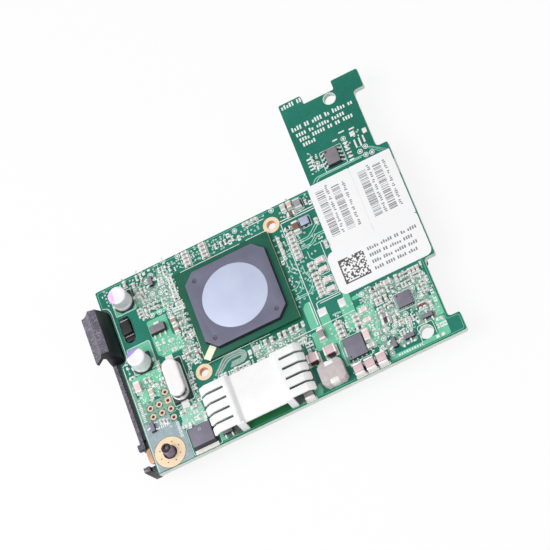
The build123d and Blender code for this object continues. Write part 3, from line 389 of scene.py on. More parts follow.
def makeLights():
    world = bpy.data.worlds.new("studio")
    world.use_nodes = True
    bpy.context.scene.world = world
    wire = Wire(world.node_tree)
    across, along, height = wire.node("TexCoord", out="Generated").parts()
    # Brighter overhead and on the left, duller on the right and in front.
    sky = wire.node("ValToRGB", None, {0: height * 0.42 - across * 0.2 + along * 0.1 + 0.5})
    stops = sky.socket.node.color_ramp.elements
    stops.remove(stops[1])
    stops[0].position, stops[0].color = studio["ramp"][0][0], linear(studio["ramp"][0][1])
    for place, colour in studio["ramp"][1:]:
        stops.new(place).color = linear(colour)
    seen, dim = wire.direct(), studio["sky"]
    wire.feed(world.node_tree.nodes["Background"],
              {"Color": seen.mixed(sky, linear(studio["white"])), "Strength": seen * (1 - dim) + dim})
    for name, (place, size, power) in studio["lamps"].items():
        lamp = bpy.data.lights.new(name, "AREA")
        lamp.shape, lamp.size, lamp.energy = "DISK", size, power
        made = added(name, lamp)
        made.location = place
        made.rotation_euler = (Vector(place) - Vector(studio["aim"])).to_track_quat("Z", "Y").to_euler()


def makeFloor():
    mesh = bpy.data.meshes.new("floor")
    reach = studio["reach"]
    mesh.from_pydata([(x, y, 0) for x, y in centred(0, 0, reach, reach)], [], [(0, 1, 2, 3)])
    material = bpy.data.materials.new("paleFloor")
    material.use_nodes = True
    nodes = material.node_tree.nodes
    wire = Wire(material.node_tree)
    wire.feed(nodes["Principled BSDF"], {"Base Color": wire.noise(wire.place(), 6.0).tinted(studio),
                                         "Roughness": studio["rough"]})
    glow = wire.node("Emission", None, {"Color": (1, 1, 1, 1), "Strength": 1.0})
    shader = Wire(material.node_tree, nodes["Principled BSDF"].outputs[0])
    both = wire.node("MixShader", None, {0: wire.direct() * studio["glow"], 1: shader, 2: glow})
    wire.feed(nodes["Material Output"], {"Surface": both})
    mesh.materials.append(material)
    added("floor", mesh)


makeLights()
makeFloor()
print("studio lit")


# Finishes.

def mottled(wire, look):
    # A broad drift and a fine grain between two colours, and the grain in the gloss and the surface.
    spot = wire.place()
    grain = wire.noise(spot, look["grain"], 3.0)
    shade = wire.noise(spot, look["patch"]).swing(0.8) + grain.swing(look.get("speckle", 0.8)) + 0.5
    colour = shade.tinted(look)
    if "side" in look:  # painted shade: the sides take a darker colour than the top
        colour = (abs(wire.normal()[2]) < 0.5).mixed(colour, linear(look["side"]))
    made = {"Base Color": colour, "Roughness": grain.swing(0.15) + look["rough"],
            "Metallic": look.get("metal", 0.0), "Normal": wire.bump(grain, look.get("relief", 0.004))}
    if "coat" in look:
        made["Coat Weight"], made["Coat Roughness"] = look["coat"], 0.12
    if "specular" in look:
        made["Specular IOR Level"] = look["specular"]
    return made


def boardFinish(wire, look):
    # Green mask over woven laminate on the two faces, bare layered laminate on the edges.
    spot = wire.place()
    x, y, z = spot.parts()
    up = abs(wire.normal()[2]) > 0.5
    broad, fine = wire.noise(spot, 14.0), wire.noise(spot, 0.5, 4.0)
    weave = wire.math("SINE", x * 9.0) * wire.math("SINE", y * 9.0)
    mask = (broad.swing(1.1) + fine.swing(0.9) + weave * 0.05 + 0.5).tinted(look)
    layers = wire.math("SINE", z * 26.0) * 0.35 + wire.noise(wire.place((1, 1, 4)), 0.4) * 0.9
    edge = layers.mixed(linear(look["edgeDark"]), linear(look["edge"]))
    return {"Base Color": up.mixed(edge, mask), "Roughness": up * -0.24 + 0.72 + fine.swing(0.12),
            "Specular IOR Level": 0.25, "Normal": wire.bump(fine * 0.7 + weave * 0.1, 0.006)}


def paperFinish(wire, look):
    # Clouded paper with fibres along one direction.
    fibre = wire.noise(wire.place((1, 4, 1)), 0.3, 4.0)
    shade = wire.noise(wire.place(), 9.0).swing(0.8) + fibre.swing(0.5) + 0.6
    return {"Base Color": shade.tinted(look), "Roughness": look["rough"], "Normal": wire.bump(fibre, 0.004)}


def leatherFinish(wire, look):
    # Moulded leather grain: a web of short creases, on the outer faces that a hand meets.
    spot = wire.place((0.75, 1.25, 0.75))
    drift, grain = wire.noise(spot, 2.6, 2.0), wire.noise(wire.place(), 0.1, 3.0)
    folds = wire.node("TexNoise", None, {"Vector": spot, "Scale": 1 / 0.85, "Detail": 2.5, "Distortion": 1.6})
    crease = 1 - wire.math("MINIMUM", abs(folds - 0.5) * 9.0, 1.0)
    x, _, z = wire.normal()
    across, _, height = wire.place().parts()
    low = height < boardHigh.z / mm  # painted shade: beside the board's edge the groove behind the rail keeps the dark colour
    left = across + low * look["groove"] < boardLow.x / mm - 0.15
    outer = wire.math("MAXIMUM", x < -0.25, z > 0.55) * left
    # painted shade darkens the creases, on top of their bump
    shade = outer * (0.98 - crease * 0.6 + drift.swing(0.4)) + grain.swing(0.16)
    return {"Base Color": shade.tinted(look), "Roughness": outer * 0.18 + look["rough"] + grain.swing(0.1),
            "Normal": wire.bump(grain * 0.1 - crease * outer, 0.16)}


def dragFinish(wire, look):
    # Metal drawn in one direction, with faint stains.
    streak = wire.noise(wire.place(look["stretch"]), 0.25, 4.0)
    stain = wire.noise(wire.place(), look["patch"], 3.0)
    colour = (streak.swing(0.7) + stain.swing(0.8) + 0.55).tinted(look)
    if "mirrored" in look:  # the dark part in front of it that its front end mirrors
        low, high, tone = look["mirrored"]
        height, facing = wire.place().parts()[2], wire.normal()[1] < -0.3
        colour = (facing * (height > low) * (height < high) * (stain > 0.44)).mixed(colour, linear(tone))
    return {"Base Color": colour, "Metallic": look["metal"],
            "Roughness": streak.swing(0.1) + stain.swing(0.1) + look["rough"],
            "Normal": wire.bump(streak, look.get("relief", 0.004))}


def look(dark, light, rough=0.5, patch=0.8, grain=0.12, **more):
    # Two colours, roughness, the widths of patches and grain in millimetres, and what else a recipe takes.
    return {"dark": dark, "light": light, "rough": rough, "patch": patch, "grain": grain, **more}


# A look's side colour is painted shade on the part's sides; the light top colours of the black moulded chips
# carry painted sheen.
looks = {
    "board": look((7, 97, 78), (42, 136, 118), edgeDark=(195, 208, 195), edge=(239, 246, 237)),
    "pour": look((93, 185, 149), (134, 218, 182), 0.45, 3, 0.3, speckle=0.5, specular=0.25),
    "greyPour": look((132, 155, 164), (185, 199, 205), 0.45, 1.2, 0.4, speckle=1.1, specular=0.25),
    "darkPour": look((11, 88, 63), (26, 113, 84), 0.5, 5, specular=0.25),
    "trace": look((124, 193, 168), (180, 233, 212), 0.45, 2, 0.3),
    # the next two: painted shadow under the heat sink's plate and under its fins
    "sinkGreen": look((15, 88, 47), (51, 139, 84), 0.5, 4, specular=0.25),
    "sinkPour": look((32, 65, 55), (126, 143, 132), 0.5, 0.7, 0.25, speckle=1.3),
    "haze": look((88, 141, 122), (157, 191, 176), 0.5, 1.2, 0.3, speckle=1, specular=0.25),
    "via": look((199, 224, 214), (243, 250, 247), 0.5, 1.5, 0.15),
    "greyTrace": look((136, 164, 153), (186, 203, 195), 0.45, 1, 0.3),
    "edging": look((88, 88, 80), (139, 128, 109), 0.5, 1),
    "silk": look((226, 239, 233), (250, 250, 250), 0.6, 1.5, 0.15),
    "tin": look((216, 216, 212), (250, 250, 250), 0.36, 0.8, 0.2, metal=0.25, relief=0.02),
    "gold": look((239, 205, 166), (250, 235, 203), 0.34, 2, 0.25, metal=0.3, relief=0.01),
    "screwRim": look((28, 17, 19), (74, 47, 45), 0.4, 0.7, metal=0.3),
    "glint": look((74, 82, 109), (185, 199, 224), 0.3, 0.5, metal=0.2),
    "collar": look((55, 32, 32), (128, 78, 59), 0.35, 1, metal=0.3),
    "headerRing": look((214, 180, 157), (247, 222, 199), 0.36, 1, 0.2, metal=0.25),
    "lining": look((205, 109, 74), (250, 187, 147), 0.35, 1, metal=0.4),
    # dark red-brown of a plated hole's copper wall, darkened with painted shade
    "holeWall": look((70, 20, 16), (124, 54, 43), 0.45, 0.6, metal=0.3),
    "substrate": look((14, 80, 60), (36, 108, 86), 0.5, 5, 0.35, specular=0.25),
    "mould": look((90, 90, 109), (122, 122, 146), 0.52, 6, 0.16, side=(36, 34, 45), relief=0.012,
                  speckle=0.9),
    "plasticEdge": look((157, 157, 159), (205, 205, 205), 0.4),
    "paleDimple": look((166, 164, 180), (195, 193, 208), 0.4, 0.5, 0.1),
    "dimple": look((32, 28, 36), (63, 57, 68), 0.4, 0.3, 0.1, relief=0.05),
    "slug": look((180, 189, 215), (208, 216, 238), 0.5, 7, 0.14, metal=0.2, relief=0.004),
    "heatSink": look((236, 236, 236), (252, 252, 251), 0.5, 6, metal=0.1, stretch=(0.15, 1, 0.15)),
    "chipBlack": look((109, 105, 111), (149, 144, 149), 0.5, 2.5, 0.14, side=(32, 30, 36), relief=0.014),
    "chipGrey": look((101, 97, 111), (141, 136, 153), 0.5, 3, 0.16, side=(40, 37, 47), relief=0.012),
    "chipDark": look((108, 104, 118), (148, 145, 160), 0.5, 1.5, side=(26, 24, 30), relief=0.012),
    "resistor": look((36, 36, 40), (70, 70, 76), 0.35, 0.6, coat=0.3),
    "alumina": look((228, 226, 218), (250, 249, 243), 0.6, 0.5),
    "fired": look((185, 178, 172), (228, 222, 216), 0.48, 0.6, 0.08),
    "brown": look((96, 68, 58), (143, 108, 94), 0.45, 0.8, 0.08),
    "tan": look((153, 118, 103), (199, 170, 155), 0.45, 0.8, 0.08),
    "greyBody": look((136, 128, 130), (180, 172, 172), 0.45, 0.8, 0.08, side=(78, 70, 72)),
    "darkRed": look((103, 58, 58), (150, 88, 86), 0.4, 0.8, 0.08),
    "beige": look((205, 178, 157), (237, 214, 195), 0.45, 0.8, 0.08),
    "pinkWhite": look((233, 195, 195), (250, 233, 231), 0.45, 0.8, 0.08),
    "pinkBody": look((206, 172, 180), (238, 213, 218), 0.36, 1.2, 0.08, side=(97, 47, 61), coat=0.25),
    "gate": look((240, 236, 208), (252, 253, 234), 0.45, 1, metal=0.2),
    "creamEnd": look((228, 218, 208), (250, 250, 249), 0.38, 0.8, 0.2, metal=0.35, relief=0.01),
    "can": look((240, 239, 243), (252, 251, 254), 0.3, 4, metal=0.08, stretch=(1, 1, 0.15)),
    "canRing": look((199, 197, 201), (250, 249, 249), 0.25, 3, metal=0.6, stretch=(1, 1, 0.3)),
    "markPurple": look((153, 122, 216), (195, 166, 247), 0.5, 1),
    "markPink": look((233, 193, 250), (250, 222, 252), 0.5, 1),
    "blackPlastic": look((10, 10, 12), (27, 28, 31), 0.42, 2, 0.15, relief=0.01),
    "crystal": look((240, 234, 235), (252, 250, 250), 0.3, 2.5, metal=0.2, relief=0.001,
                    mirrored=(9.6, 10.7, (96, 84, 84)), stretch=(1, 0.2, 1)),
    "inductor": look((180, 168, 170), (218, 208, 209), 0.55, 1.4, relief=0.03, speckle=1),
    "coilGrey": look((138, 138, 143), (176, 177, 180), 0.5, 1.5, side=(60, 50, 56), relief=0.012),
    "oscillator": look((157, 162, 189), (195, 199, 224), 0.4, 1.5, side=(63, 63, 88), metal=0.2),
    "paper": look((246, 246, 248), (254, 254, 254), 0.55),
    "ink": look((124, 124, 128), (157, 157, 162), 0.5, 0.8, 0.1),
    "seam": look((216, 214, 214), (239, 237, 237), 0.6, 0.8, 0.1),
    "darkInk": look((70, 68, 70), (103, 101, 103), 0.5, 0.8, 0.1),
    "clip": look((14, 13, 17), (146, 141, 157), 0.36, groove=0.95),
    "brass": look((172, 124, 94), (214, 172, 138), 0.32, 2, metal=0.5, stretch=(1, 1, 0.2)),
    "screw": look((56, 46, 58), (170, 160, 182), 0.35, 1, metal=0.15, stretch=(1, 1, 0.3))}
recipes = {"board": boardFinish, "paper": paperFinish, "clip": leatherFinish,
           **{name: dragFinish for name in ("heatSink", "can", "canRing", "crystal", "brass", "screw")}}
paints = {name: finish(name, recipes.get(name, mottled), entry) for name, entry in looks.items()}
print("finishes made:", len(paints))


# Two-ended chips, each where its solid lies.

chipTrade = {
    "endLengths": {1.0: 0.27, 1.6: 0.42, 2.0: 0.5, 3.2: 0.6},
    "padReach": 0.34, "padMargin": 0.12, "padRise": 0.03, "padCorner": 0.12, "edge": 0.07, "foot": 0.04,
    "plain": (0.06, 0.06, 0.05), "ceramic": (0.04, 0.06, 0.03), "glaze": (0.02, 0.12, 0.03),
    "glazeHeights": (0.78, 0.86), "lift": 0.04, "drop": 0.03, "solderInsets": (0.02, 0.12),
    "solderStep": (0.14, 0.4), "solderTip": 0.03, "fillet": 0.24, "climb": 0.55, "lap": 0.05,
    "clearEnds": 0.3, "clearSides": 0.1, "near": 0.35,
    "inks": ["fired", "resistor", "brown", "darkRed", "beige", "pinkWhite", "tan", "greyBody"],
    "special": {"brown": [(56.6, 47.2), (56.7, 51.5)],
                "tan": [(17.5, 38.1), (17.5, 35.5), (20.4, 26.4), (17.9, 27.0)],
                "darkRed": [(79.6, 11.1), (78.5, 11.1)],
                "beige": [(5.5, 22.0), (57.0, 54.2)], "greyBody": [(52.4, 15.8), (69.2, 12.9)],
                "pinkWhite": [(59.2, 35.4), (59.2, 32.7), (59.2, 29.3), (59.2, 26.6), (64.8, 14.0),
                              (64.8, 17.0), (63.1, 10.2), (2.6, 24.9)]},
    "resistorShare": {"left_edge_chips": 0.15, "top_row_chips": 0.0, "low_row_chips": 0.0,
                      "middle_chips": 0.1, "power_chips": 0.1, "corner_chips": 0.12, "tongue_chips": 0.3,
                      "underside_fired_chips": 0.4}}
fired, resistor, tin, alumina = 0, 1, len(chipTrade["inks"]), len(chipTrade["inks"]) + 1
chipPaints = [paints[name] for name in chipTrade["inks"]] + [paints["tin"], paints["alumina"]]
padShape = Shape()
pads = []       # middle x, middle y and way out; traces start here
obstacles = []  # low x, low y, high x, high y of everything that stands on the top face


def bodyInk(cx, cy, share, draw):
    for ink, places in chipTrade["special"].items():
        if any(math.hypot(cx - x, cy - y) < chipTrade["near"] for x, y in places):
            return chipTrade["inks"].index(ink)
    return resistor if draw.random() < share else fired


def addChip(shape, cx, cy, length, width, base, top, angle, ink):
    # Body, two plated ends with their solder, and two pads.
    parts, c = Shape(), chipTrade
    up, height = (1 if top > base else -1), abs(top - base)
    end = min(c["endLengths"].items(), key=lambda item: abs(item[0] - length))[1]

    def body(part, low, high, paint):
        longer, narrower, edge = c[part]
        parts.pillow(0, 0, length - 2 * end + longer, width - narrower, low, high, edge, ink=paint)

    if ink == resistor:  # white ceramic with a black glaze on top
        low, high = (height * share for share in c["glazeHeights"])
        body("ceramic", c["lift"], low, alumina)
        body("glaze", low, high, ink)
    else:
        body("plain", c["lift"], height - c["drop"], ink)
    wide, narrow = (width / 2 - inset for inset in c["solderInsets"])
    (step, fall), tip = c["solderStep"], c["solderTip"]
    for side in (-1, 1):
        parts.pillow(side * (length / 2 - end / 2), 0, end, width, 0.0, height, c["edge"], ink=tin,
                     foot=c["foot"])
        x0, x1 = side * (length / 2 - c["lap"]), side * (length / 2 + c["fillet"])
        rise = height * c["climb"]
        parts.loft([[(x, -wide, 0), (x, wide, 0), (x, narrow, z), (x, -narrow, z)]
                    for x, z in ((x0, rise), (x0 + side * step, rise * fall), (x1, tip))], tin)
        out = side * (length / 2 + c["padReach"] - end)
        pad = spun(centred(out, 0, end, width / 2 + c["padMargin"]), cx, cy, angle)
        padShape.prism(rounded(pad, c["padCorner"], 2), base, base + up * c["padRise"])
    start = len(shape.points)
    turned = spun([p[:2] for p in parts.points], cx, cy, angle)
    shape.points += [(x, y, base + up * p[2]) for (x, y), p in zip(turned, parts.points)]
    shape.faces += [tuple(start + i for i in face) for face in parts.faces]
    shape.inks += parts.inks


def makeChips(node, share):
    shape, draw, c = Shape(), random.Random(node), chipTrade
    below = node.startswith("underside")
    for low, high in solidBoxes(node):
        cx, cy = middle(low, high)
        along, across = high[0] - low[0], high[1] - low[1]
        angle = 0 if along > across else 90
        length, width = max(along, across), min(along, across)
        base, top = (high[2], low[2]) if below else (low[2], high[2])
        addChip(shape, cx, cy, length, width, base, top, angle, bodyInk(cx, cy, share, draw))
        if not below:
            for side in (-1, 1):
                tip = stepped(cx, cy, angle, side * (length / 2 + c["padReach"]))
                pads.append((*tip, (angle if side > 0 else angle + 180) % 360))
            reach = c["clearEnds"] if angle == 0 else c["clearSides"]
            both = c["clearEnds"] + c["clearSides"]
            obstacles.append((low[0] - reach, low[1] - both + reach, high[0] + reach, high[1] + both - reach))
    shape.piece("dressed_" + node, chipPaints, "fired_chip", (node,))


for group, share in chipTrade["resistorShare"].items():
    makeChips(group, share)
print("small chips made:", len(pads) // 2)


# Large ceramic capacitors.

capacitor = {"swell": 0.06, "bodyEdge": 0.14, "endEdge": 0.16, "foot": 0.06, "clear": 0.4, "padMargin": 0.25,
             "padCorner": 0.2, "greyOne": (46, 4)}  # the grey one lies left of and below this


def makeLargeCapacitors():
    bodies, ends, c = Shape(), Shape(), capacitor
    for low, high in solidBoxes("large_capacitor_bodies"):
        bodies.pillow(*middle(low, high), high[0] - low[0] + c["swell"], high[1] - low[1], 0.0, high[2],
                      c["bodyEdge"], ink=int(low[0] < c["greyOne"][0] and low[1] < c["greyOne"][1]))
    for low, high in solidBoxes("large_capacitor_ends"):
        ends.pillow(*middle(low, high), high[0] - low[0], high[1] - low[1], 0.0, high[2], c["endEdge"],
                    foot=c["foot"])
        obstacles.append(grown(low, high, c["clear"]))
        x0, y0, x1, y1 = grown(low, high, c["padMargin"])
        padShape.prism(rounded(rectangle(x0, x1, y0, y1), c["padCorner"]), 0, chipTrade["padRise"])
    bodies.piece("large_capacitor_ceramic", [paints["pinkBody"], paints["greyBody"]], "capacitor_ceramic",
                 ("large_capacitor_bodies",))
    ends.piece("large_capacitor_caps", [paints["creamEnd"]], "capacitor_ceramic", ("large_capacitor_ends",))


makeLargeCapacitors()


# Carried-over nodes and their finishes.

kept = {"board": ["circuit_board"], "gold": ["sink_hole_rings", "screw_pad", "plug_contacts"],
        "headerRing": ["header_pads"], "gate": ["controller_gate"], "chipDark": ["cooled_device_body"],
        "creamEnd": ["regulator_tab"], "crystal": ["crystal_can"],
        "paper": ["left_barcode_label", "right_barcode_label", "data_label"],
        "tin": ["controller_balls", "cooled_device_tab", "cooled_device_leads", "regulator_leads",
                "round_capacitor_tabs", "crystal_leads", "power_chip_pins", "oscillator_pads",
                "control_chip_pins", "memory_chip_leads", "tab_transistor_leads", "small_transistor_leads",
                "filter_coil_ends", "underside_chip_leads"]}
soft = [  # node, finish, slot, width of the rounded edge
    ("controller_substrate", "substrate", "substrate_green", 0.06),
    ("controller_mould", "mould", "mould_compound", 0.1),
    ("controller_heat_slug", "slug", "nickel_slug", 0.05), ("heat_sink", "heatSink", "tinned_sheet", 0.1),
    ("regulator_body", "chipGrey", "chip_plastic", 0.1),
    ("round_capacitor_bases", "blackPlastic", "black_plastic", 0.08),
    ("crystal_base", "blackPlastic", "black_plastic", 0.06),
    ("inductor_core", "inductor", "inductor_powder", 0.14),
    ("inductor_clips", "creamEnd", "tinned_leads", 0.05),
    ("power_chip_body", "chipGrey", "chip_plastic", 0.06),
    ("oscillator_body", "oscillator", "oscillator_lid", 0.1),
    ("control_chip_body", "chipGrey", "chip_plastic", 0.05),
    ("memory_chip_body", "chipBlack", "chip_plastic", 0.07),
    ("tab_transistor_body", "chipBlack", "chip_plastic", 0.08),
    ("small_transistor_bodies", "chipDark", "chip_plastic", 0.06),
    ("filter_coil_body", "coilGrey", "inductor_powder", 0.1),
    ("edge_clip", "clip", "clip_plastic", 0.12), ("brass_bushing", "brass", "bushing_brass", 0.08),
    ("plug_housing", "blackPlastic", "black_plastic", 0.12),
    ("underside_chip_bodies", "chipDark", "chip_plastic", 0.07)]
standing = {"below": 1.2, "clear": 0.3}  # a solid that starts lower down keeps this much free round it

for paint, nodes in kept.items():
    for node in nodes:
        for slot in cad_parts[node].material_slots:
            slot.material = paints[paint]
for node, paint, slot, width in soft:
    softened(node, paints[paint], width)
    if not node.startswith(("underside", "plug", "edge", "brass")):
        obstacles += [grown(low, high, standing["clear"]) for low, high in solidBoxes(node)
                      if low[2] < standing["below"]]
print("nodes dressed:", sum(map(len, kept.values())) + len(soft))


# Printing, copper and solder on the board's two faces.

pitch = 2.54         # of the header's holes
gridStep = 0.1       # of the cells in which a face notes what is covered
copperStep = 0.0006  # from one pour to the next, so that none flicker where they overlap
layerHeights = {
    "haze": 0.006, "pour": 0.02, "greyPour": 0.02, "darkPour": 0.014, "sinkPour": 0.015, "sinkGreen": 0.015,
    "trace": 0.038, "greyTrace": 0.038, "edging": 0.038, "silk": 0.05, "tin": 0.045, "via": 0.055,
    "holeWall": 0.03}
holes = [  # middle x, middle y, radius that stays free
    (77.5, 4, 1.7), (77.5, 78.1, 1.6), (20.35, 20.9, 2.4), (50.65, 51.3, 2.4), (4.85, 4.4, 4.4),
    (5, 41.6, 3.6), *[(3.75 + pitch * i, 15.5 + pitch * j, 0.9)
    for i, j in ((0, 0), (1, 0), (2, 0), (0, 1), (1, 1), (2, 1), (2, 2), (2, -1))]]

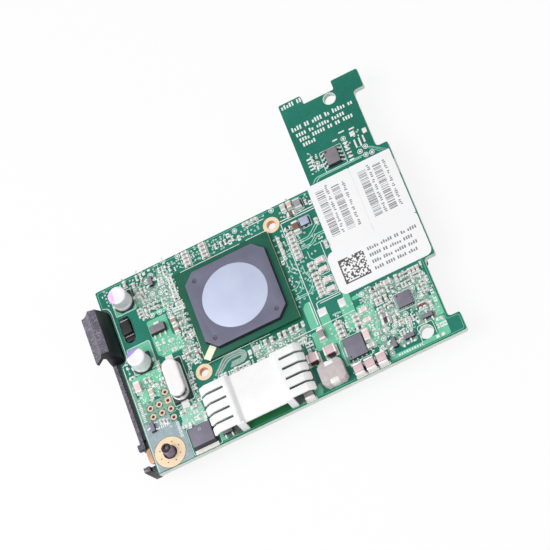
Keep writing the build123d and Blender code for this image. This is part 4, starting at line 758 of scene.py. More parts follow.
boardArt = {
    "seed": 7,
    "copper": [  # finish, the layer it lies on, corner radius, step from one to the next, outlines
        ("pour", "pour", 0.45, copperStep, [
            [(10.4, 41.4), (10.4, 31.2), (11.8, 29.8), (17.9, 29.8), (17.9, 33.6), (16, 35), (16, 41.4)],
            rectangle(2.9, 9.5, 28.4, 36.4), [(1.4, 28), (1.4, 24.4), (4.4, 24.4), (4.4, 25.4), (7.4, 25.4),
            (7.4, 24.2), (9.7, 24.2), (9.7, 28)], rectangle(2.1, 4.5, 19.9, 23.8),
            rectangle(6.2, 7.6, 20.4, 24), [(50.3, 18.4), (52.7, 18.4), (52.7, 26.1), (51.3, 26.1),
            (50.3, 24.9)], rectangle(53.4, 56, 16.8, 21),
            [(59.3, 13.4), (61, 13.4), (62.8, 15.6), (62.8, 24.3), (61.4, 24.3), (60.9, 22.8), (59.3, 22.8)],
            [(63.1, 18.9), (67.4, 18.9), (67.4, 11.4), (66, 9.6), (66, 6.6), (63.1, 6.6)],
            rectangle(49.9, 56.4, 12, 17.4), rectangle(66.4, 77, 0.8, 2), rectangle(44.9, 47.4, 0.7, 3.4),
            rectangle(55.3, 56.6, 4.6, 12.3), [(76.6, 0.8), (83.2, 0.8), (83.2, 6.4), (80.3, 6.4),
            (80.3, 2.2), (76.6, 2.2)], [(81.5, 6.6), (83.4, 6.6), (83.4, 13.4), (82.4, 13.4), (81.5, 11.8)],
            rectangle(18.6, 20.6, 0.8, 4.6), rectangle(63, 66.6, 20.9, 22), rectangle(12.2, 17.4, 42.4, 43.2),
            rectangle(3.4, 9.3, 46.5, 52.8)]),
        ("trace", "pour", 0.4, 0, [rectangle(10.6, 16.9, 8.4, 13.8)]),
        ("greyPour", "greyPour", 0, 0, [  # in two halves round the screw's hole
            [(0.2, 0.25), (4.84, 0.25), *arc(4.84, 4.4, 4, 270, 90), (4.84, 14.2), (0.2, 14.2)],
            [(4.86, 14.2), *arc(4.86, 4.4, 4, 90, -90), (4.86, 0.25), (10.4, 0.25), (10.4, 9.6), (9.4, 9.6),
            (9.4, 11.9), (7.9, 11.9), (7.9, 14.2)]]),
        ("haze", "haze", 0, 0, [  # pale ground between the header's holes
            *[rectangle(0.25, 9.9, y0, y1) for y0, y1 in ((14.25, 14.6), (16.4, 17.15), (18.95, 19.7),
            (21.5, 22.3))], *[rectangle(x0, x1, y0, y1)
            for x0, x1 in ((0.25, 2.85), (4.65, 5.4), (7.2, 7.9), (9.7, 9.9))
            for y0, y1 in ((14.6, 16.4), (17.15, 18.95), (19.7, 21.5))], rectangle(0.25, 1.3, 22.3, 28.4),
            rectangle(4.6, 6.1, 22.3, 24.1), rectangle(7.7, 9.9, 22.3, 24.1)]),
        ("darkPour", "darkPour", 0.4, 0, [rectangle(20.9, 50, 22, 50.6)]),
        # painted shadow of the heat sink's fins on the board
        ("sinkPour", "sinkPour", 0, 0, [rectangle(18.4, 24.6, 0.8, 14.9), rectangle(39.4, 46.8, 0.8, 14.9)]),
        # painted shadow under the heat sink's plate
        ("sinkGreen", "sinkGreen", 0, 0, [rectangle(24.6, 39.4, 0.5, 14.9)])],
    "blocked": [  # low x, low y, high x, high y
        (60.9, 23.2, 64, 36.3), (62.8, 23.2, 87.2, 56.7), (21.9, 22.7, 49, 49.8), (25, 0.2, 40.2, 15),
        (18.2, 4.4, 47, 15), (22.4, 18.6, 33.6, 22.6)],
    "wideLines": [  # width, then the points
        (0.24, [(48.95, 23.2), (48.95, 50.1)]), (0.2, [(53, 18.3), (53, 50.4)]),
        (0.2, [(52.4, 19), (52.4, 26)]), (0.24, [(53, 50.3), (62.8, 50.3)]), (0.24, [(53, 51), (62.8, 51)]),
        (0.22, [(42.8, 50.5), (48.8, 50.5)]), (0.22, [(44, 54), (49.3, 54)]),
        (0.2, [(45.2, 18.3), (62.6, 18.3)]), (0.2, [(21.8, 23.1), (48.6, 23.1)]),
        (0.16, [(21.8, 22.6), (40, 22.6)]), (0.2, [(54, 20.9), (54, 24.9), (60.9, 24.9)]),
        (0.2, [(55, 24.3), (60.9, 24.3)]), (0.18, [(60.9, 25.2), (60.9, 40.6)]),
        (0.16, [(61.4, 25.2), (61.4, 33)]), (0.2, [(21.7, 24), (21.7, 34)]),
        (0.2, [(23.5, 50.4), (41, 50.4)]), (0.16,
        [(0.4, 50.6), (1.7, 50.2), (2.4, 48.8), (2.4, 34.6), (1.7, 33), (0.4, 32.4)]),
        (0.14, [(0.42, 0.6), (0.42, 32)]), (0.16, [(75.6, 0.9), (75.6, 6.4), (79.9, 6.4), (79.9, 2.4)])],
    "lines": [
        [(49.4, 41.3), (58.6, 41.3), (60.6, 43.1), (62.9, 43.1)],
        [(49.4, 40.8), (58.9, 40.8), (60.9, 42.5), (62.9, 42.5)],
        [(55.5, 43.4), (58.6, 43.4), (60.5, 45), (62.9, 47.2)],
        [(55.5, 42.8), (58.9, 42.8), (60.9, 44.4), (62.9, 46.3)], [(59, 40.4), (62.9, 40.4)],
        [(49.3, 31.2), (51, 31.2), (53, 33.4), (53, 35)],
        [(50, 29.6), (51.2, 29.6), (52.6, 31.2), (52.6, 34)],
        [(54.3, 36.6), (54.3, 33.8), (55.1, 32.7), (55.1, 30.2), (53.6, 28.6), (49.4, 28.6)],
        [(49.4, 28.1), (53.9, 28.1), (55.5, 29.8)], [(49.4, 45), (50.2, 45)],
        [(50.8, 40), (50.8, 36.4), (52.4, 34.8)], [(51.8, 39.6), (51.8, 36.9), (53.6, 35)],
        [(65, 56.9), (66.3, 58.2), (80, 58.2)], [(66, 56.9), (67, 57.8), (79.4, 57.8)],
        [(45.6, 17.2), (49.6, 17.2), (50.6, 16.2)], [(68.4, 8.9), (71, 6.6), (75.5, 6.6)],
        [(49, 8), (47.6, 9.2)], [(16.2, 15), (16.2, 22.6), (18, 24.4)],
        [(56.9, 39.6), (56.9, 37.4), (58.4, 36)], [(34.6, 22.3), (35.6, 21.3), (35.6, 18)],
        [(36.9, 22.3), (36.9, 19), (38.4, 17.6)]],
    "diagonals": [
        [(79.6 + 0.9 * i, 60.9 - 0.5 * i), (80.6 + 0.9 * i, 60.8 - 0.5 * i), (84.6 + 0.75 * i, 56.9)]
        for i in range(3)],
    "rings": [
        (12.5, 42.5), (14.7, 42.5), (17.1, 41), (17.1, 39.9), (14.6, 48.3), (16.9, 47.6), (15.7, 53.6),
        (14.2, 52.3), (24.3, 55.2), (41, 54.5), (52, 55.2), (65.7, 21.5), (78.4, 16.9), (74.3, 11),
        (66.8, 7.5), (69.8, 8.1), (74.2, 7.5), (79.4, 13.8), (80.4, 11.6), (67.4, 2.6), (76.8, 65.2),
        (68, 61.9), (79.6, 59.5), (81.4, 60.2), (80.7, 57.9), (82.4, 57.8), (74.4, 8.6), (70.6, 9.4)],
    "blobs": [
        (14.2, 54.9, 0.9, 0.9), (15.8, 55.2, 0.8, 0.6), (16.6, 52.2, 0.7, 0.7), (67.5, 5.5, 0.8, 0.8),
        (67.5, 3.9, 0.7, 0.7), (69.9, 4.7, 0.8, 0.7), (72.1, 3.3, 0.8, 0.6), (74, 3.3, 0.8, 0.6),
        (73.1, 6.2, 0.7, 0.6), (71, 3.1, 0.6, 0.8), (54.7, 21.8, 2.4, 2.2), (60.3, 21.8, 1.9, 2.4),
        (79.7, 1.5, 0.9, 0.9), (81.2, 1.5, 0.9, 0.9), (13, 15, 2, 1.8), (79.5, 65.4, 1.4, 1.5),
        (82.8, 64.7, 1.2, 1.5), (79.3, 62.2, 0.5, 2.6), (80.6, 62.2, 0.5, 2.6), (81.8, 62.6, 0.5, 2.2),
        (79.8, 66.9, 1.6, 0.5), (77, 67.3, 1.7, 0.45), (74.6, 65.9, 1.5, 0.45),
        *[(76.9, 58.4 + 1.1 * i, 1.4, 0.5) for i in range(6)],
        *[(66.4, 60.9 + 1.05 * i, 1.5, 0.5) for i in range(4)], (52.5, 17.9, 1.4, 0.8), (33.4, 20.3, 1, 1.5),
        (33.2, 18.9, 0.8, 0.6), (36.3, 20.6, 0.6, 1.4)],
    "vias": [
        (50.6, 38.2), (51, 37.5), (51.9, 38), (54.4, 38.2), (55, 37.4), (56, 38), (53.5, 37.2), (51.8, 35.5),
        (52.5, 36.1), (50, 32.8), (51.7, 32.5), (53.8, 32.6), (50.4, 30.6), (52.4, 30.3), (50.4, 28.9),
        (49.7, 26), (52.1, 44.6), (52, 42.1), (49.9, 34.5), (50.6, 47.5), (49.8, 43),
        *[(2.4 + 0.7 * (i % 2), 50.8 + 0.55 * i) for i in range(9)],
        *[(12.2 + 0.8 * i, 31.2 + 0.8 * j) for i in range(6) for j in range(2)]],
    "greyLines": [
        *[[(22.8 + 0.8 * i, 18.5), (26.6 + 0.4 * i, 22.3 - 0.62 * i), (31.4 - 0.3 * i, 22.3 - 0.62 * i),
        (32.6 - 0.6 * i, 20.6), (31.4 - 0.3 * i, 18.9 + 0.5 * i), (27.4 + 0.3 * i, 18.9 + 0.5 * i)]
        for i in range(3)], *[[(34.4 + 0.7 * i, 22.4), (34.4 + 0.7 * i, 18.6)] for i in range(2)]],
    "marks": [
        *[(9.25, 7 + 0.42 * i, 0.8 if i % 3 else 1, 0.24) for i in range(11)],
        *[(1.4, 15.2 + 0.5 * i, 0.7 if i % 4 else 1, 0.26) for i in range(12)],
        *[(4.4 + 0.55 * i, 11.9, 0.24, 0.8) for i in range(5)],
        *[(69 + 0.72 * i, 1.4, 0.34 if i % 3 else 0.55, 0.5) for i in range(10)]],
    "strokes": {  # finish, width, bend and its steps
        "diagonals": ("trace", 0.14, 0.5, 3), "lines": ("trace", 0.26, 0.7, 3),
        "greyLines": ("greyTrace", 0.46, 1.2, 5)},
    "wideBend": 0.8, "lineClear": 0.1, "endClear": 0.2, "holeClear": 0.3, "frameLine": (0.15, 0.5),
    "edgeLine": (0.14, 0.6),
    "frames": [  # silk round parts
        (10.1, 15.8, 15.3, 28.3), (2.9, 9.5, 28.4, 36.4), (3.4, 9.3, 46.5, 52.8), (57.8, 60.6, 31.5, 36.6),
        (57.8, 60.6, 25.4, 30.5), (55.8, 62.9, 4.9, 12.2), (72.9, 77.9, 12.3, 17.3), (69.4, 75.6, 58.2, 64.4),
        (57.6, 60.8, 46.1, 49.3), (57.9, 60.5, 51.6, 54.9), (10.6, 18.6, 0.5, 8.2)],
    "insetEdge": [
        (62.4, 55.5), (0.5, 55.5), (0.5, 50.3), (2, 50.3), (2.5, 48.5), (2.5, 34.5), (2, 32.7), (0.5, 32.7),
        (0.5, 0.5), (86.7, 0.5), (86.7, 4.8), (83.5, 4.8), (83.5, 22.8)],
    "padOutline": (4.85, 4.4, 4.2, 4.34), "holeRings": [(77.5, 4, 1.72, 1.95), (77.5, 78.1, 1.62, 1.8)],
    "ringSizes": (0.36, 0.56, 0.74, 0.8), "blobShape": (0.12, 0.1),
    "stubShare": 0.75, "stubLength": (0.7, 1.6),
    "rows": [  # rows of plain blocks: from, to, middle, height
        (65, 82.4, 74.3, 1.3), (65.6, 78.6, 72.2, 1.05), (66, 80, 70.5, 1.05), (66.4, 69.8, 68.8, 1.1),
        (64.6, 69.8, 81.8, 1.3)]}
clutterZones = [  # x0, x1, y0, y1, then the share of the cells that are filled, and the vias
    (9.2, 21.9, 41.8, 55.2, 0.94, 260), (16.2, 21.7, 23.4, 41.8, 0.94, 160), (10, 21.6, 55.2, 56.2, 0, 10),
    (22, 49, 51, 55.2, 0.35, 90), (20.4, 34, 16.4, 18.5, 0.95, 30), (34.2, 49.4, 15.6, 22.2, 0.9, 70),
    (49.4, 55.8, 26.4, 50, 0.13, 40), (55.8, 62.6, 37.4, 50, 0.06, 20), (64.2, 83.2, 2.6, 22.9, 0.93, 260),
    (45.4, 49.9, 12, 18, 0.7, 30), (56.4, 63, 12.6, 20.6, 0.3, 30), (63.2, 67.4, 7, 18.6, 0.4, 24),
    (0.9, 10.2, 14.8, 30, 0.45, 60), (9.6, 17.4, 8.6, 15.2, 0.35, 24), (10.8, 15.8, 30.2, 35, 0.55, 10),
    (53.4, 62.8, 51.4, 55.2, 0.45, 14), (65.2, 69, 59, 64.6, 0.3, 8), (76, 83.2, 60.6, 66, 0.16, 12),
    (56, 64, 0.6, 13, 0.4, 20), (18, 25, 0.8, 4, 0.6, 8), (40.4, 47.4, 0.8, 4, 0.6, 8),
    (1, 9.6, 53, 55.2, 0.4, 10), (9.8, 11, 9, 14, 0.9, 4), (15.7, 18, 13.8, 23.4, 0.85, 40)]
hazeZones = [
    (9.4, 21.6, 42.2, 55.2), (16.4, 21.6, 24, 42), (64.4, 83, 3, 22.8), (34.4, 49, 15.8, 22),
    (9.8, 17.2, 8.8, 15.2), (15.7, 18, 13.8, 23.4), (0.9, 9.8, 22.4, 29), (18.4, 25, 0.6, 4.2),
    (40, 48, 0.6, 4.2)]
cells = {
    "sizes": [(1.5, 0.85), (1.8, 1), (1.5, 0.8)], "block": (2.2, 4.8), "least": 0.8, "pad": (0.5, 0.68),
    "bracket": 0.15, "stub": 0.16, "via": (0.13, 0.27), "chipShare": 0.5, "chipHeight": 0.32,
    "darkShare": 0.12, "markShare": 0.12, "markStep": 0.3, "markSize": (0.17, 0.3),
    "markTops": (0.1, 0.3, 0.3), "bracketAt": (0.44, 0.05), "chipPart": (0.66, 0.62), "padAt": 0.27,
    "overlap": 0.1, "dash": (0.25, 0.15), "dashes": 2.5, "dashRoom": 0.05, "viaRoom": 0.24, "viaClaim": 0.2,
    "stubRoom": 0.25, "inset": 0.3, "hazeStep": 0.00005, "hazeCorner": 0.3, "hazeWidth": (1.2, 3.6),
    "hazeArea": 5, "rowBlock": (0.46, 0.76, 0.7)}


class BoardFace:  # what is printed, plated and soldered on one face
    def __init__(self, above, seed):
        self.base, self.up = (0.0, 1) if above else (-boardThick, -1)
        self.draw, self.taken, self.loose = random.Random(seed), set(), Shape()
        self.shapes = {name: Shape() for name in layerHeights}

    def level(self, layer, extra=0.0):
        return sorted((self.base, self.base + self.up * (layerHeights[layer] + extra)))

    def lay(self, name, outline, layer=None, extra=0.0):
        self.shapes[name].prism(outline, *self.level(layer or name, extra))

    def line(self, name, path, width, layer=None):
        self.shapes[name].ribbon(path, width, *self.level(layer or name))

    def spots(self, x0, y0, x1, y1):
        return {(i, j) for i in range(int(x0 / gridStep), int(x1 / gridStep) + 1)
                for j in range(int(y0 / gridStep), int(y1 / gridStep) + 1)}

    def claim(self, *box):
        self.taken |= self.spots(*box)

    def free(self, *box):
        return self.taken.isdisjoint(self.spots(*box))

    def claimHoles(self, margin):
        for x, y, radius in holes:
            self.claim(*around(x, y, radius, radius, margin))

    def via(self, x, y):
        inner, outer = cells["via"]
        self.shapes["via"].washer(x, y, inner, outer, *self.level("via"), sides=10)
        # a dark disc in the via's hole: painted shade over the copper wall's colour
        self.shapes["holeWall"].disc(x, y, inner, *self.level("holeWall"), sides=8)
        self.claim(*around(x, y, cells["viaClaim"]))

    def stub(self, x, y, angle, length):
        # A trace that leaves a pad, turns half right or left, and ends in a via.
        path, away = [(x, y)], math.radians(angle)
        for veer in (0, self.draw.choice((-45, 0, 45))):
            away += math.radians(veer)
            x, y = x + math.cos(away) * length * 0.5, y + math.sin(away) * length * 0.5
            path.append((x, y))
        if self.free(*around(x, y, cells["stubRoom"])):
            self.line("trace", path, cells["stub"])
            self.via(x, y)

    def cell(self, cx, cy, way, length, width):
        # A footprint between two printed lines, bare or with a small chip, or else a short row of marks.
        draw = self.draw
        if draw.random() < cells["markShare"]:
            for i in range(3):
                x, y = stepped(cx, cy, way, (i - 1) * length * cells["markStep"])
                a, b = cells["markSize"]
                top = draw.choice(cells["markTops"])
                self.lay("silk", spun(rectangle(-a, a, -b, top), x, y, way))
            return
        for side in (-1, 1):
            edge, end = side * (width / 2 - cells["bracketAt"][1]), length * cells["bracketAt"][0]
            self.line("silk", spun([(-end, edge), (end, edge)], cx, cy, way), cells["bracket"])
        if draw.random() < cells["chipShare"]:
            ink = resistor if draw.random() < cells["darkShare"] else fired
            a, b = cells["chipPart"]
            addChip(self.loose, cx, cy, length * a, width * b, self.base,
                    self.base + self.up * cells["chipHeight"], way, ink)
            return
        a, b = cells["pad"][0] / 2, cells["pad"][1] / 2 * width / cells["sizes"][0][1]
        for side in (-1, 1):
            x, y = stepped(cx, cy, way, side * length * cells["padAt"])
            self.lay("tin", spun(centred(0, 0, a, b), x, y, way))

    def block(self, x, y, wide, tall, share):
        # Equal cells side by side.
        draw = self.draw
        way, (length, width) = draw.choice((0, 90)), draw.choice(cells["sizes"])
        a, b = (length, width) if way == 0 else (width, length)
        across, up, boxes = max(1, int(wide / a)), max(1, int(tall / b)), []
        for i in range(across):
            for j in range(up):
                cx, cy = x + (i + 0.5) * wide / across, y + (j + 0.5) * tall / up
                box = around(cx, cy, a / 2, b / 2, -cells["overlap"])
                if draw.random() < share and self.free(*box):
                    self.cell(cx, cy, way, length, width)
                    boxes.append(box)
        for box in boxes:
            self.claim(*box)

    def somewhere(self, x0, x1, y0, y1):
        inset = cells["inset"]
        return self.draw.uniform(x0 + inset, x1 - inset), self.draw.uniform(y0 + inset, y1 - inset)

    def fill(self, zones):
        for *zone, share, vias in zones:
            x0, x1, y0, y1 = zone
            x = x0
            while x < x1 - cells["least"]:
                wide, y = min(self.draw.uniform(*cells["block"]), x1 - x), y0
                while y < y1 - cells["least"]:
                    tall = min(self.draw.uniform(*cells["block"]), y1 - y)
                    self.block(x, y, wide, tall, share)
                    y += tall
                x += wide
            for _ in range(vias):
                spot = self.somewhere(*zone)
                if self.free(*around(*spot, cells["viaRoom"])):
                    self.via(*spot)
            for _ in range(int((x1 - x0) * (y1 - y0) * share * cells["dashes"])):  # dashes fill what is left
                x, y = self.somewhere(*zone)
                a, b = cells["dash"][::self.draw.choice((1, -1))]
                if self.free(*around(x, y, a, b)):
                    self.lay(self.draw.choice(("silk", "tin", "tin", "trace")), centred(x, y, a, b))
                    self.claim(*around(x, y, a, b, cells["dashRoom"]))

    def haze(self, zones):
        # Paler copper areas under the dense zones, each at its own height.
        count = 0
        for x0, x1, y0, y1 in zones:
            for _ in range(int((x1 - x0) * (y1 - y0) / cells["hazeArea"])):
                wide, tall = self.draw.uniform(*cells["hazeWidth"]), self.draw.uniform(*cells["hazeWidth"])
                x, y = self.draw.uniform(x0, x1 - wide), self.draw.uniform(y0, y1 - tall)
                if not any(x - radius < hx < x + wide + radius and y - radius < hy < y + tall + radius
                           for hx, hy, radius in holes):
                    count += 1
                    outline = rounded(rectangle(x, x + wide, y, y + tall), cells["hazeCorner"])
                    self.lay("haze", outline, extra=count * cells["hazeStep"])

    def rows(self, places):
        for x0, x1, y, tall in places:
            blockRow(self.shapes["silk"], self.draw, x0, x1, y - tall / 2, tall, cells["rowBlock"],
                     self.level("silk"))

    def pieces(self, prefix):
        for name, shape in self.shapes.items():
            if shape.faces:
                shape.piece(prefix + name, [paints[name]], "solder" if name == "tin" else "solder_mask_green")
        self.loose.piece(prefix + "small_chips", chipPaints, "fired_chip")


def blockRow(shape, draw, x0, x1, foot, tall, block, levels):
    # A printed row of plain blocks in groups; block is their width, their step and the gap after a group.
    width, step, gap = block
    x = x0
    while x < x1:
        for _ in range(draw.choice((2, 4, 5))):
            shape.prism(rectangle(x, x + width, foot, foot + tall * draw.choice((0.7, 1.0, 1.0))), *levels)
            x += step
        x += gap


def drawTop():
    face = BoardFace(True, boardArt["seed"])
    silk, tinned = face.shapes["silk"], face.shapes["tin"]
    face.haze(hazeZones)
    for name, layer, radius, step, outlines in boardArt["copper"]:
        for i, outline in enumerate(outlines):
            face.lay(name, rounded(outline, radius) if radius else outline, layer, i * step)
    for box in obstacles + boardArt["blocked"]:
        face.claim(*box)
    face.claimHoles(boardArt["holeClear"])
    for width, path in boardArt["wideLines"]:
        face.line("silk", bent(path, boardArt["wideBend"]), width)
        for a, b in zip(path, path[1:]):
            face.claim(*grown(tuple(map(min, a, b)), tuple(map(max, a, b)), boardArt["lineClear"]))
    for kind, (name, width, bend, steps) in boardArt["strokes"].items():
        for path in boardArt[kind]:
            face.line(name, bent(path, bend, steps), width)
    for path in boardArt["lines"]:
        for spot in (path[0], path[-1]):
            face.claim(*around(*spot, boardArt["endClear"]))
    width, bend = boardArt["frameLine"]
    for corners in boardArt["frames"]:
        outline = rounded(rectangle(*corners), bend)
        face.line("silk", outline + outline[:1], width)
    for ring in boardArt["holeRings"]:
        silk.washer(*ring, *face.level("silk"), sides=32)
    face.shapes["edging"].washer(*boardArt["padOutline"], *face.level("edging"), sides=48)
    dot, inner, outer, clear = boardArt["ringSizes"]
    for x, y in boardArt["rings"]:
        silk.washer(x, y, inner, outer, *face.level("silk"))
        tinned.disc(x, y, dot, *face.level("tin"))
        face.claim(*around(x, y, clear))
    for x, y, length, width in boardArt["blobs"]:
        tinned.pillow(x, y, length, width, 0.0, *boardArt["blobShape"])
        face.claim(*around(x, y, length / 2, width / 2))
    for x, y, length, width in boardArt["marks"]:
        face.lay("silk", centred(x, y, length / 2, width / 2))
        face.claim(*around(x, y, length / 2, width / 2))
    for spot in boardArt["vias"]:
        face.via(*spot)
    for pad in pads:
        if face.draw.random() < boardArt["stubShare"]:
            face.stub(*pad, face.draw.uniform(*boardArt["stubLength"]))
    face.fill(clutterZones)
    face.rows(boardArt["rows"])
    width, bend = boardArt["edgeLine"]
    face.line("pour", rounded(boardArt["insetEdge"], bend), width, "darkPour")
    face.pieces("board_")


underArt = {
    "seed": 11,
    "pours": [
        rectangle(24, 46, 26, 47), rectangle(46.5, 62, 2, 12), rectangle(14, 22, 9, 20),
        rectangle(66, 83, 60, 76)],
    "around": [
        "underside_chip_bodies", "underside_chip_leads", "underside_fired_chips", "plug_housing", "edge_clip",
        "brass_bushing", "clip_screw"], "clipReach": 10.6, "clear": 0.35, "holeClear": 0.5, "bend": 0.8,
    "vias": [
        (24 + i, 26.2 + j) for i in range(23) for j in range(21) if (i * 7 + j * 5) % 6
        and not (i in range(4, 19) and j in range(4, 17) and (i + j) % 2)],
    "zones": [
        (12, 62, 49.4, 55.2, 0.7, 60), (12, 23, 22, 49, 0.75, 80), (48, 62.5, 14, 48, 0.6, 90),
        (24, 47, 14, 24.6, 0.5, 50), (64, 83, 4, 22, 0.5, 60), (26, 45, 28, 45, 0.22, 0),
        (65, 83, 58, 62, 0.4, 10), (24, 62, 2, 12, 0.35, 40)],
    "bus": [
        [(46.5, 28 + 1.1 * i), (50, 28 + 1.1 * i), (53, 30 + 0.9 * i), (65.2, 30 + 0.9 * i)]
        for i in range(16)],
    "busWidth": 0.2, "busZone": (47, 27.6, 62.6, 46),
    "rows": [(66, 76, 72.5, 1.2), (66, 80, 70.2, 1), (14, 24, 4, 1.2)]}


def drawUnderside():
    face = BoardFace(False, underArt["seed"])
    for i, outline in enumerate(underArt["pours"]):
        face.lay("pour", rounded(outline, underArt["bend"]), extra=i * copperStep)
    for node in underArt["around"]:
        for low, high in solidBoxes(node):
            if node == "edge_clip":
                high[0] = underArt["clipReach"]
            face.claim(*grown(low, high, underArt["clear"]))
    face.claimHoles(underArt["holeClear"])
    for path in underArt["bus"]:
        face.line("trace", bent(path, underArt["bend"]), underArt["busWidth"])
    face.claim(*underArt["busZone"])
    for spot in underArt["vias"]:
        if face.free(*around(*spot, cells["stubRoom"])):
            face.via(*spot)
    face.fill(underArt["zones"])
    face.rows(underArt["rows"])
    face.pieces("underside_")


drawTop()
drawUnderside()
padShape.piece("chip_pads", [paints["tin"]], "solder")
print("board art drawn")


# The labels' generic print.

labelPrint = {
    "seed": 21, "bars": [(64.5, 66.8), (68.9, 71.1), (76.7, 79.0), (81.0, 83.2)], "barRows": (40.0, 54.0),
    "barWidths": (0.12, 0.12, 0.24, 0.36), "barGaps": (0.14, 0.14, 0.26, 0.4),
    "columns": [(67.3, 68.1), (71.9, 72.7), (79.5, 80.3), (83.9, 84.7)], "columnBlock": (0.36, 0.6, 0.5),
    "block": (63.2, 70.4, 25.8, 33.0), "cells": 18, "cellShare": 0.47, "cellFill": 0.98,
    "rows": [(71.6, 84.0, 32.5), (71.6, 81.4, 30.5), (71.6, 82.6, 28.5), (71.6, 81.6, 26.5)],
    "rowHeight": 0.95, "rowFoot": 0.45, "rowBlock": (0.42, 0.66, 0.55), "inkRise": 0.015,
    "shadedEdgeStrips": [(74.95, 75.1, 36.4, 39.0), (74.98, 75.08, 39.6, 56.4), (87.0, 87.14, 48.6, 53.0)]}


def drawLabelPrint():
    c, draw = labelPrint, random.Random(labelPrint["seed"])
    top = boardBox("data_label")[1].z
    levels = (top, top + c["inkRise"])
    ink, dark, seam = Shape(), Shape(), Shape()
    y0, y1 = c["barRows"]
    for left, right in c["bars"]:
        y = y0
        while y < y1:
            thick = draw.choice(c["barWidths"])
            ink.prism(rectangle(left, right, y, y + thick), *levels)
            y += thick + draw.choice(c["barGaps"])
    tall, step, gap = c["columnBlock"]
    for left, right in c["columns"]:
        y = y0
        while y < y1 - gap:
            for _ in range(draw.choice((2, 3, 5))):
                x0, x1 = left + draw.choice((0, 0.2)), right - draw.choice((0, 0.2))
                ink.prism(rectangle(x0, x1, y, y + tall), *levels)
                y += step
            y += gap
    x0, x1, y0, y1 = c["block"]
    step = (x1 - x0) / c["cells"]
    for i in range(c["cells"]):
        for j in range(c["cells"]):
            if i == 0 or j == 0 or draw.random() < c["cellShare"]:
                x, y = x0 + i * step, y0 + j * step
                side = step * c["cellFill"]
                dark.prism(rectangle(x, x + side, y, y + side), *levels)
    for x0, x1, y in c["rows"]:
        blockRow(ink, draw, x0, x1, y - c["rowFoot"], c["rowHeight"], c["rowBlock"], levels)
    # painted shade lines along the labels' edges
    for box in c["shadedEdgeStrips"]:
        seam.prism(rectangle(*box), *levels)
    for shape, name, paint in ((seam, "label_seams", "seam"), (ink, "label_print", "ink"),
                               (dark, "label_block", "darkInk")):
        shape.piece(name, [paints[paint]], "label_paper")


drawLabelPrint()
print("labels printed")


# Round capacitors with their printed marks.

canShape = {"rim": 2.62, "radius": 2.5, "top": 5.8, "base": 0.85, "groove": 2.0, "grooveDepth": 0.22,
            "edge": 0.45, "markDrop": 0.42, "ringHeight": 0.45,
            "marks": [("markPink", 178, 0.95), ("markPurple", 112, 1.15)]}  # finish, direction, distance


def markCan(made, way, reach, cx, cy):
    # The mark is the part of the top beyond a line; the ring is what lies low on the can.
    out = Vector((math.cos(math.radians(way)), math.sin(math.radians(way)), 0))
    cut = rowPoint(cx, cy, 0) + out * reach * mm
    with edited(made.data) as work:
        everything = [*work.verts, *work.edges, *work.faces]
        bmesh.ops.bisect_plane(work, geom=everything, plane_co=cut, plane_no=out)
        for face in work.faces:
            spot = face.calc_center_median()
            height = (spot.z - boardOrigin.z) / mm
            if (spot - cut).dot(out) > 0 and height > canShape["top"] - canShape["markDrop"]:
                face.material_index = 1
            elif height < canShape["base"] + canShape["ringHeight"]:
                face.material_index = 2


def makeCans():
    c = canShape
    r, e, top, foot, g = c["radius"], c["edge"], c["top"], c["base"], c["groove"]
    profile = [(0.0, foot), (c["rim"] - 0.06, foot), (c["rim"], foot + 0.08), (c["rim"], foot + 0.34),
               (r, foot + 0.62), (r, g - 0.36), (r - 0.1, g - 0.22), (r - c["grooveDepth"], g),
               (r - 0.1, g + 0.22), (r, g + 0.36), (r, top - e - 0.6), (r, top - e),
               *((r - e + e * math.cos(math.radians(a)), top - e + e * math.sin(math.radians(a)))
                 for a in (22, 45, 68, 90)),
               (1.5, top), (1.4, top - 0.03), (0.0, top - 0.03)]
    boxes = sorted(solidBoxes("round_capacitor_cans"), key=lambda box: -box[0][1])
    for i, (box, (paint, way, reach)) in enumerate(zip(boxes, c["marks"])):
        can = Shape()
        can.lathe(*middle(*box), profile, sides=64)
        made = can.piece("round_can_%d" % (i + 1), [paints["can"], paints[paint], paints["canRing"]],
                         "can_aluminium", ("round_capacitor_cans",), crease=30)
        markCan(made, way, reach, *middle(*box))


makeCans()


# The clip's screw, with its thread.

screwShape = {"root": 1.12, "crest": 1.35, "pitch": 0.55, "from": -1.3, "top": 3.5, "chamfer": 0.35,
              "steps": 28, "turnRings": 4, "rimLevels": 5, "socket": 0.7, "socketDepth": 0.8, "neck": 1.9,
              "tooth": (2.6, 1.5), "tip": (0.05, 0.12, 0.14),  # slope and height; narrower, lower, narrower
              "head": [(2.05, 0), (2.2, 0.15), (2.2, 1.45), (2.05, 1.6), (1.35, 1.6)],
              # inner and outer radius, low and high of the dark ring in the hole, which carries painted shade
              "washer": (1.36, 1.82, -1.25, -0.85)}


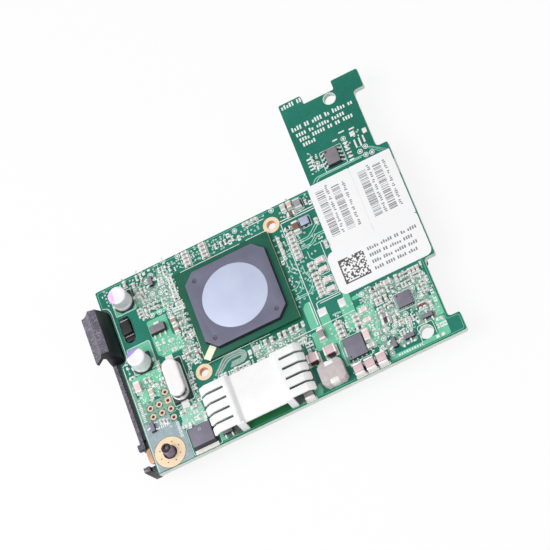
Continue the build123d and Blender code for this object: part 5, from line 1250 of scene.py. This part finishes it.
def makeScrew():
    low, high = boardBox("clip_screw")
    (cx, cy), c = middle(low, high), screwShape
    steps, top = range(c["steps"]), c["top"]
    turns = (top - c["chamfer"] - c["from"]) / c["pitch"]

    def level(radius, z):
        return [(x, y, z) for x, y in circle(cx, cy, radius, c["steps"])]

    def flank(k, height):
        # How far out the thread stands there.
        phase = (height / c["pitch"] - k / c["steps"]) % 1.0
        tooth = min(1.0, max(0.0, 1 - abs(phase - 0.5) * c["tooth"][0]) * c["tooth"][1])
        return c["root"] + (c["crest"] - c["root"]) * tooth

    grid = [level(c["root"], low.z + c["neck"])]
    for i in range(int(turns * c["turnRings"]) + 1):
        height = i * c["pitch"] / c["turnRings"]
        ways = [(2 * math.pi * k / c["steps"], flank(k, height)) for k in steps]
        grid.append([(cx + radius * math.cos(way), cy + radius * math.sin(way), c["from"] + height)
                     for way, radius in ways])
    hexagon = [Vector(p) for p in circle(cx, cy, c["socket"], 6)]
    inner = []  # the socket's six sides, with as many points as the shank
    for k in steps:
        t = k / c["steps"] * 6
        inner.append(hexagon[int(t) % 6].lerp(hexagon[(int(t) + 1) % 6], t - int(t)))
    neck, drop, taper = c["tip"]
    flat = c["root"] - neck
    grid += [level(flat, top - drop), level(flat - taper, top), [(*p, top) for p in inner],
             [(*p, top - c["socketDepth"]) for p in inner]]
    body = Shape()
    body.loft(grid)
    rim = (len(grid) - 1 - c["rimLevels"]) * c["steps"]
    body.inks[rim:] = [1] * (len(body.inks) - rim)  # the rim and the socket's sides, dark; in the socket this is painted shade
    body.inks[-1] = 2                               # and its floor, with a painted glint
    body.lathe(cx, cy, [(radius, low.z + z) for radius, z in c["head"]] + [(c["crest"], c["from"])], sides=36)
    body.piece("threaded_screw", [paints["screw"], paints["screwRim"], paints["glint"]], "blackened_steel",
               ("clip_screw",), crease=32)
    # a retaining ring in the screw's hole, painted dark brown: painted shade over the colour of the hole's
    # copper lining
    collar = Shape()
    collar.washer(cx, cy, *c["washer"], sides=36)
    collar.piece("screw_collar", [paints["collar"]], "gold_plating", crease=32)


makeScrew()


# Small marks on the parts.

marks = {
    "swirls": ((0.22, 10), (0.44, 130), (0.64, 250)), "swirlInset": 2.95, "swirlTurn": 220,
    "swirlWidth": 0.13, "swirlHeights": (-0.06, 0.012),
    "dots": [  # node, place from its left and from its front or back edge, radius
        ("memory_chip_body", 0.75, -0.75, 0.32), ("power_chip_body", 0.7, 0.7, 0.26),
        ("control_chip_body", 0.6, -0.6, 0.22)],
    "rise": 0.008, "sunk": 0.05, "regulatorRing": (1.5, 0.22, 0.4),
    "padHoles": (8, 2.85, 0.17, 0.3),  # how many, ring, radius, turn
    "padHoleHeights": (-0.02, 0.006), "hookHeights": (-0.05, 0.03),
    "hookHighlightBands": [((3.75, 6.25, 40.2, 40.42), -0.62), ((3.95, 6.05, 44.3, 44.5), 0.68)],
    "headerShadow": (0.44, -1.2, -0.25), "lining": (1.27, 1.3, -1.66, 0.05)}


def makeSmallMarks():
    dark, gold, shadow, pale, edge = (Shape() for _ in range(5))
    low, high = boardBox("controller_mould")
    (cx, cy), reach = middle(low, high), (high.x - low.x) / 2 - marks["swirlInset"]
    for sx, sy in ((-1, 1), (1, -1), (-1, -1)):  # swirls left by the mould's pins
        for radius, start in marks["swirls"]:
            swirl = arc(cx + sx * reach, cy + sy * reach, radius, start, start + marks["swirlTurn"], 11)
            dark.ribbon(swirl, marks["swirlWidth"], *(high.z + rise for rise in marks["swirlHeights"]))
    for node, dx, dy, radius in marks["dots"]:
        low, high = boardBox(node)
        dark.disc(low.x + dx, (low.y if dy > 0 else high.y) + dy, radius, high.z - marks["sunk"],
                  high.z + marks["rise"], sides=20)
    low, high = boardBox("regulator_body")
    inset, inner, outer = marks["regulatorRing"]
    pale.washer((low.x + high.x) / 2, high.y - inset, inner, outer, high.z - marks["sunk"],
                high.z + marks["rise"])
    low, high = boardBox("screw_pad")
    (cx, cy), (count, ring, radius, turn) = middle(low, high), marks["padHoles"]
    for k in range(count):  # painted shade in the small plated holes round the screw's pad
        way = k * math.pi * 2 / count + turn
        shadow.disc(cx + ring * math.cos(way), cy + ring * math.sin(way), radius,
                    *(high.z + rise for rise in marks["padHoleHeights"]))
    for corners, z in marks["hookHighlightBands"]:  # painted highlights on the hook's edges
        edge.prism(rectangle(*corners), *(z + rise for rise in marks["hookHeights"]))
    for low, high in solidBoxes("header_pads"):
        shadow.disc(*middle(low, high), *marks["headerShadow"], sides=16)
    for x, y, radius in holes[2:4]:  # the heat sink's holes are lined from top to bottom
        gold.washer(x, y, *marks["lining"], sides=32)
    for shape, name, paint, slot in ((dark, "moulded_marks", "dimple", "mould_compound"),
                                     (pale, "moulded_ring", "paleDimple", "chip_plastic"),
                                     (edge, "hook_edges", "plasticEdge", "clip_plastic"),
                                     (shadow, "plated_hole_shadows", "holeWall", "gold_plating"),
                                     (gold, "sink_hole_linings", "lining", "gold_plating")):
        shape.piece(name, [paints[paint]], slot)


makeSmallMarks()
print("cans, screw and small marks made")
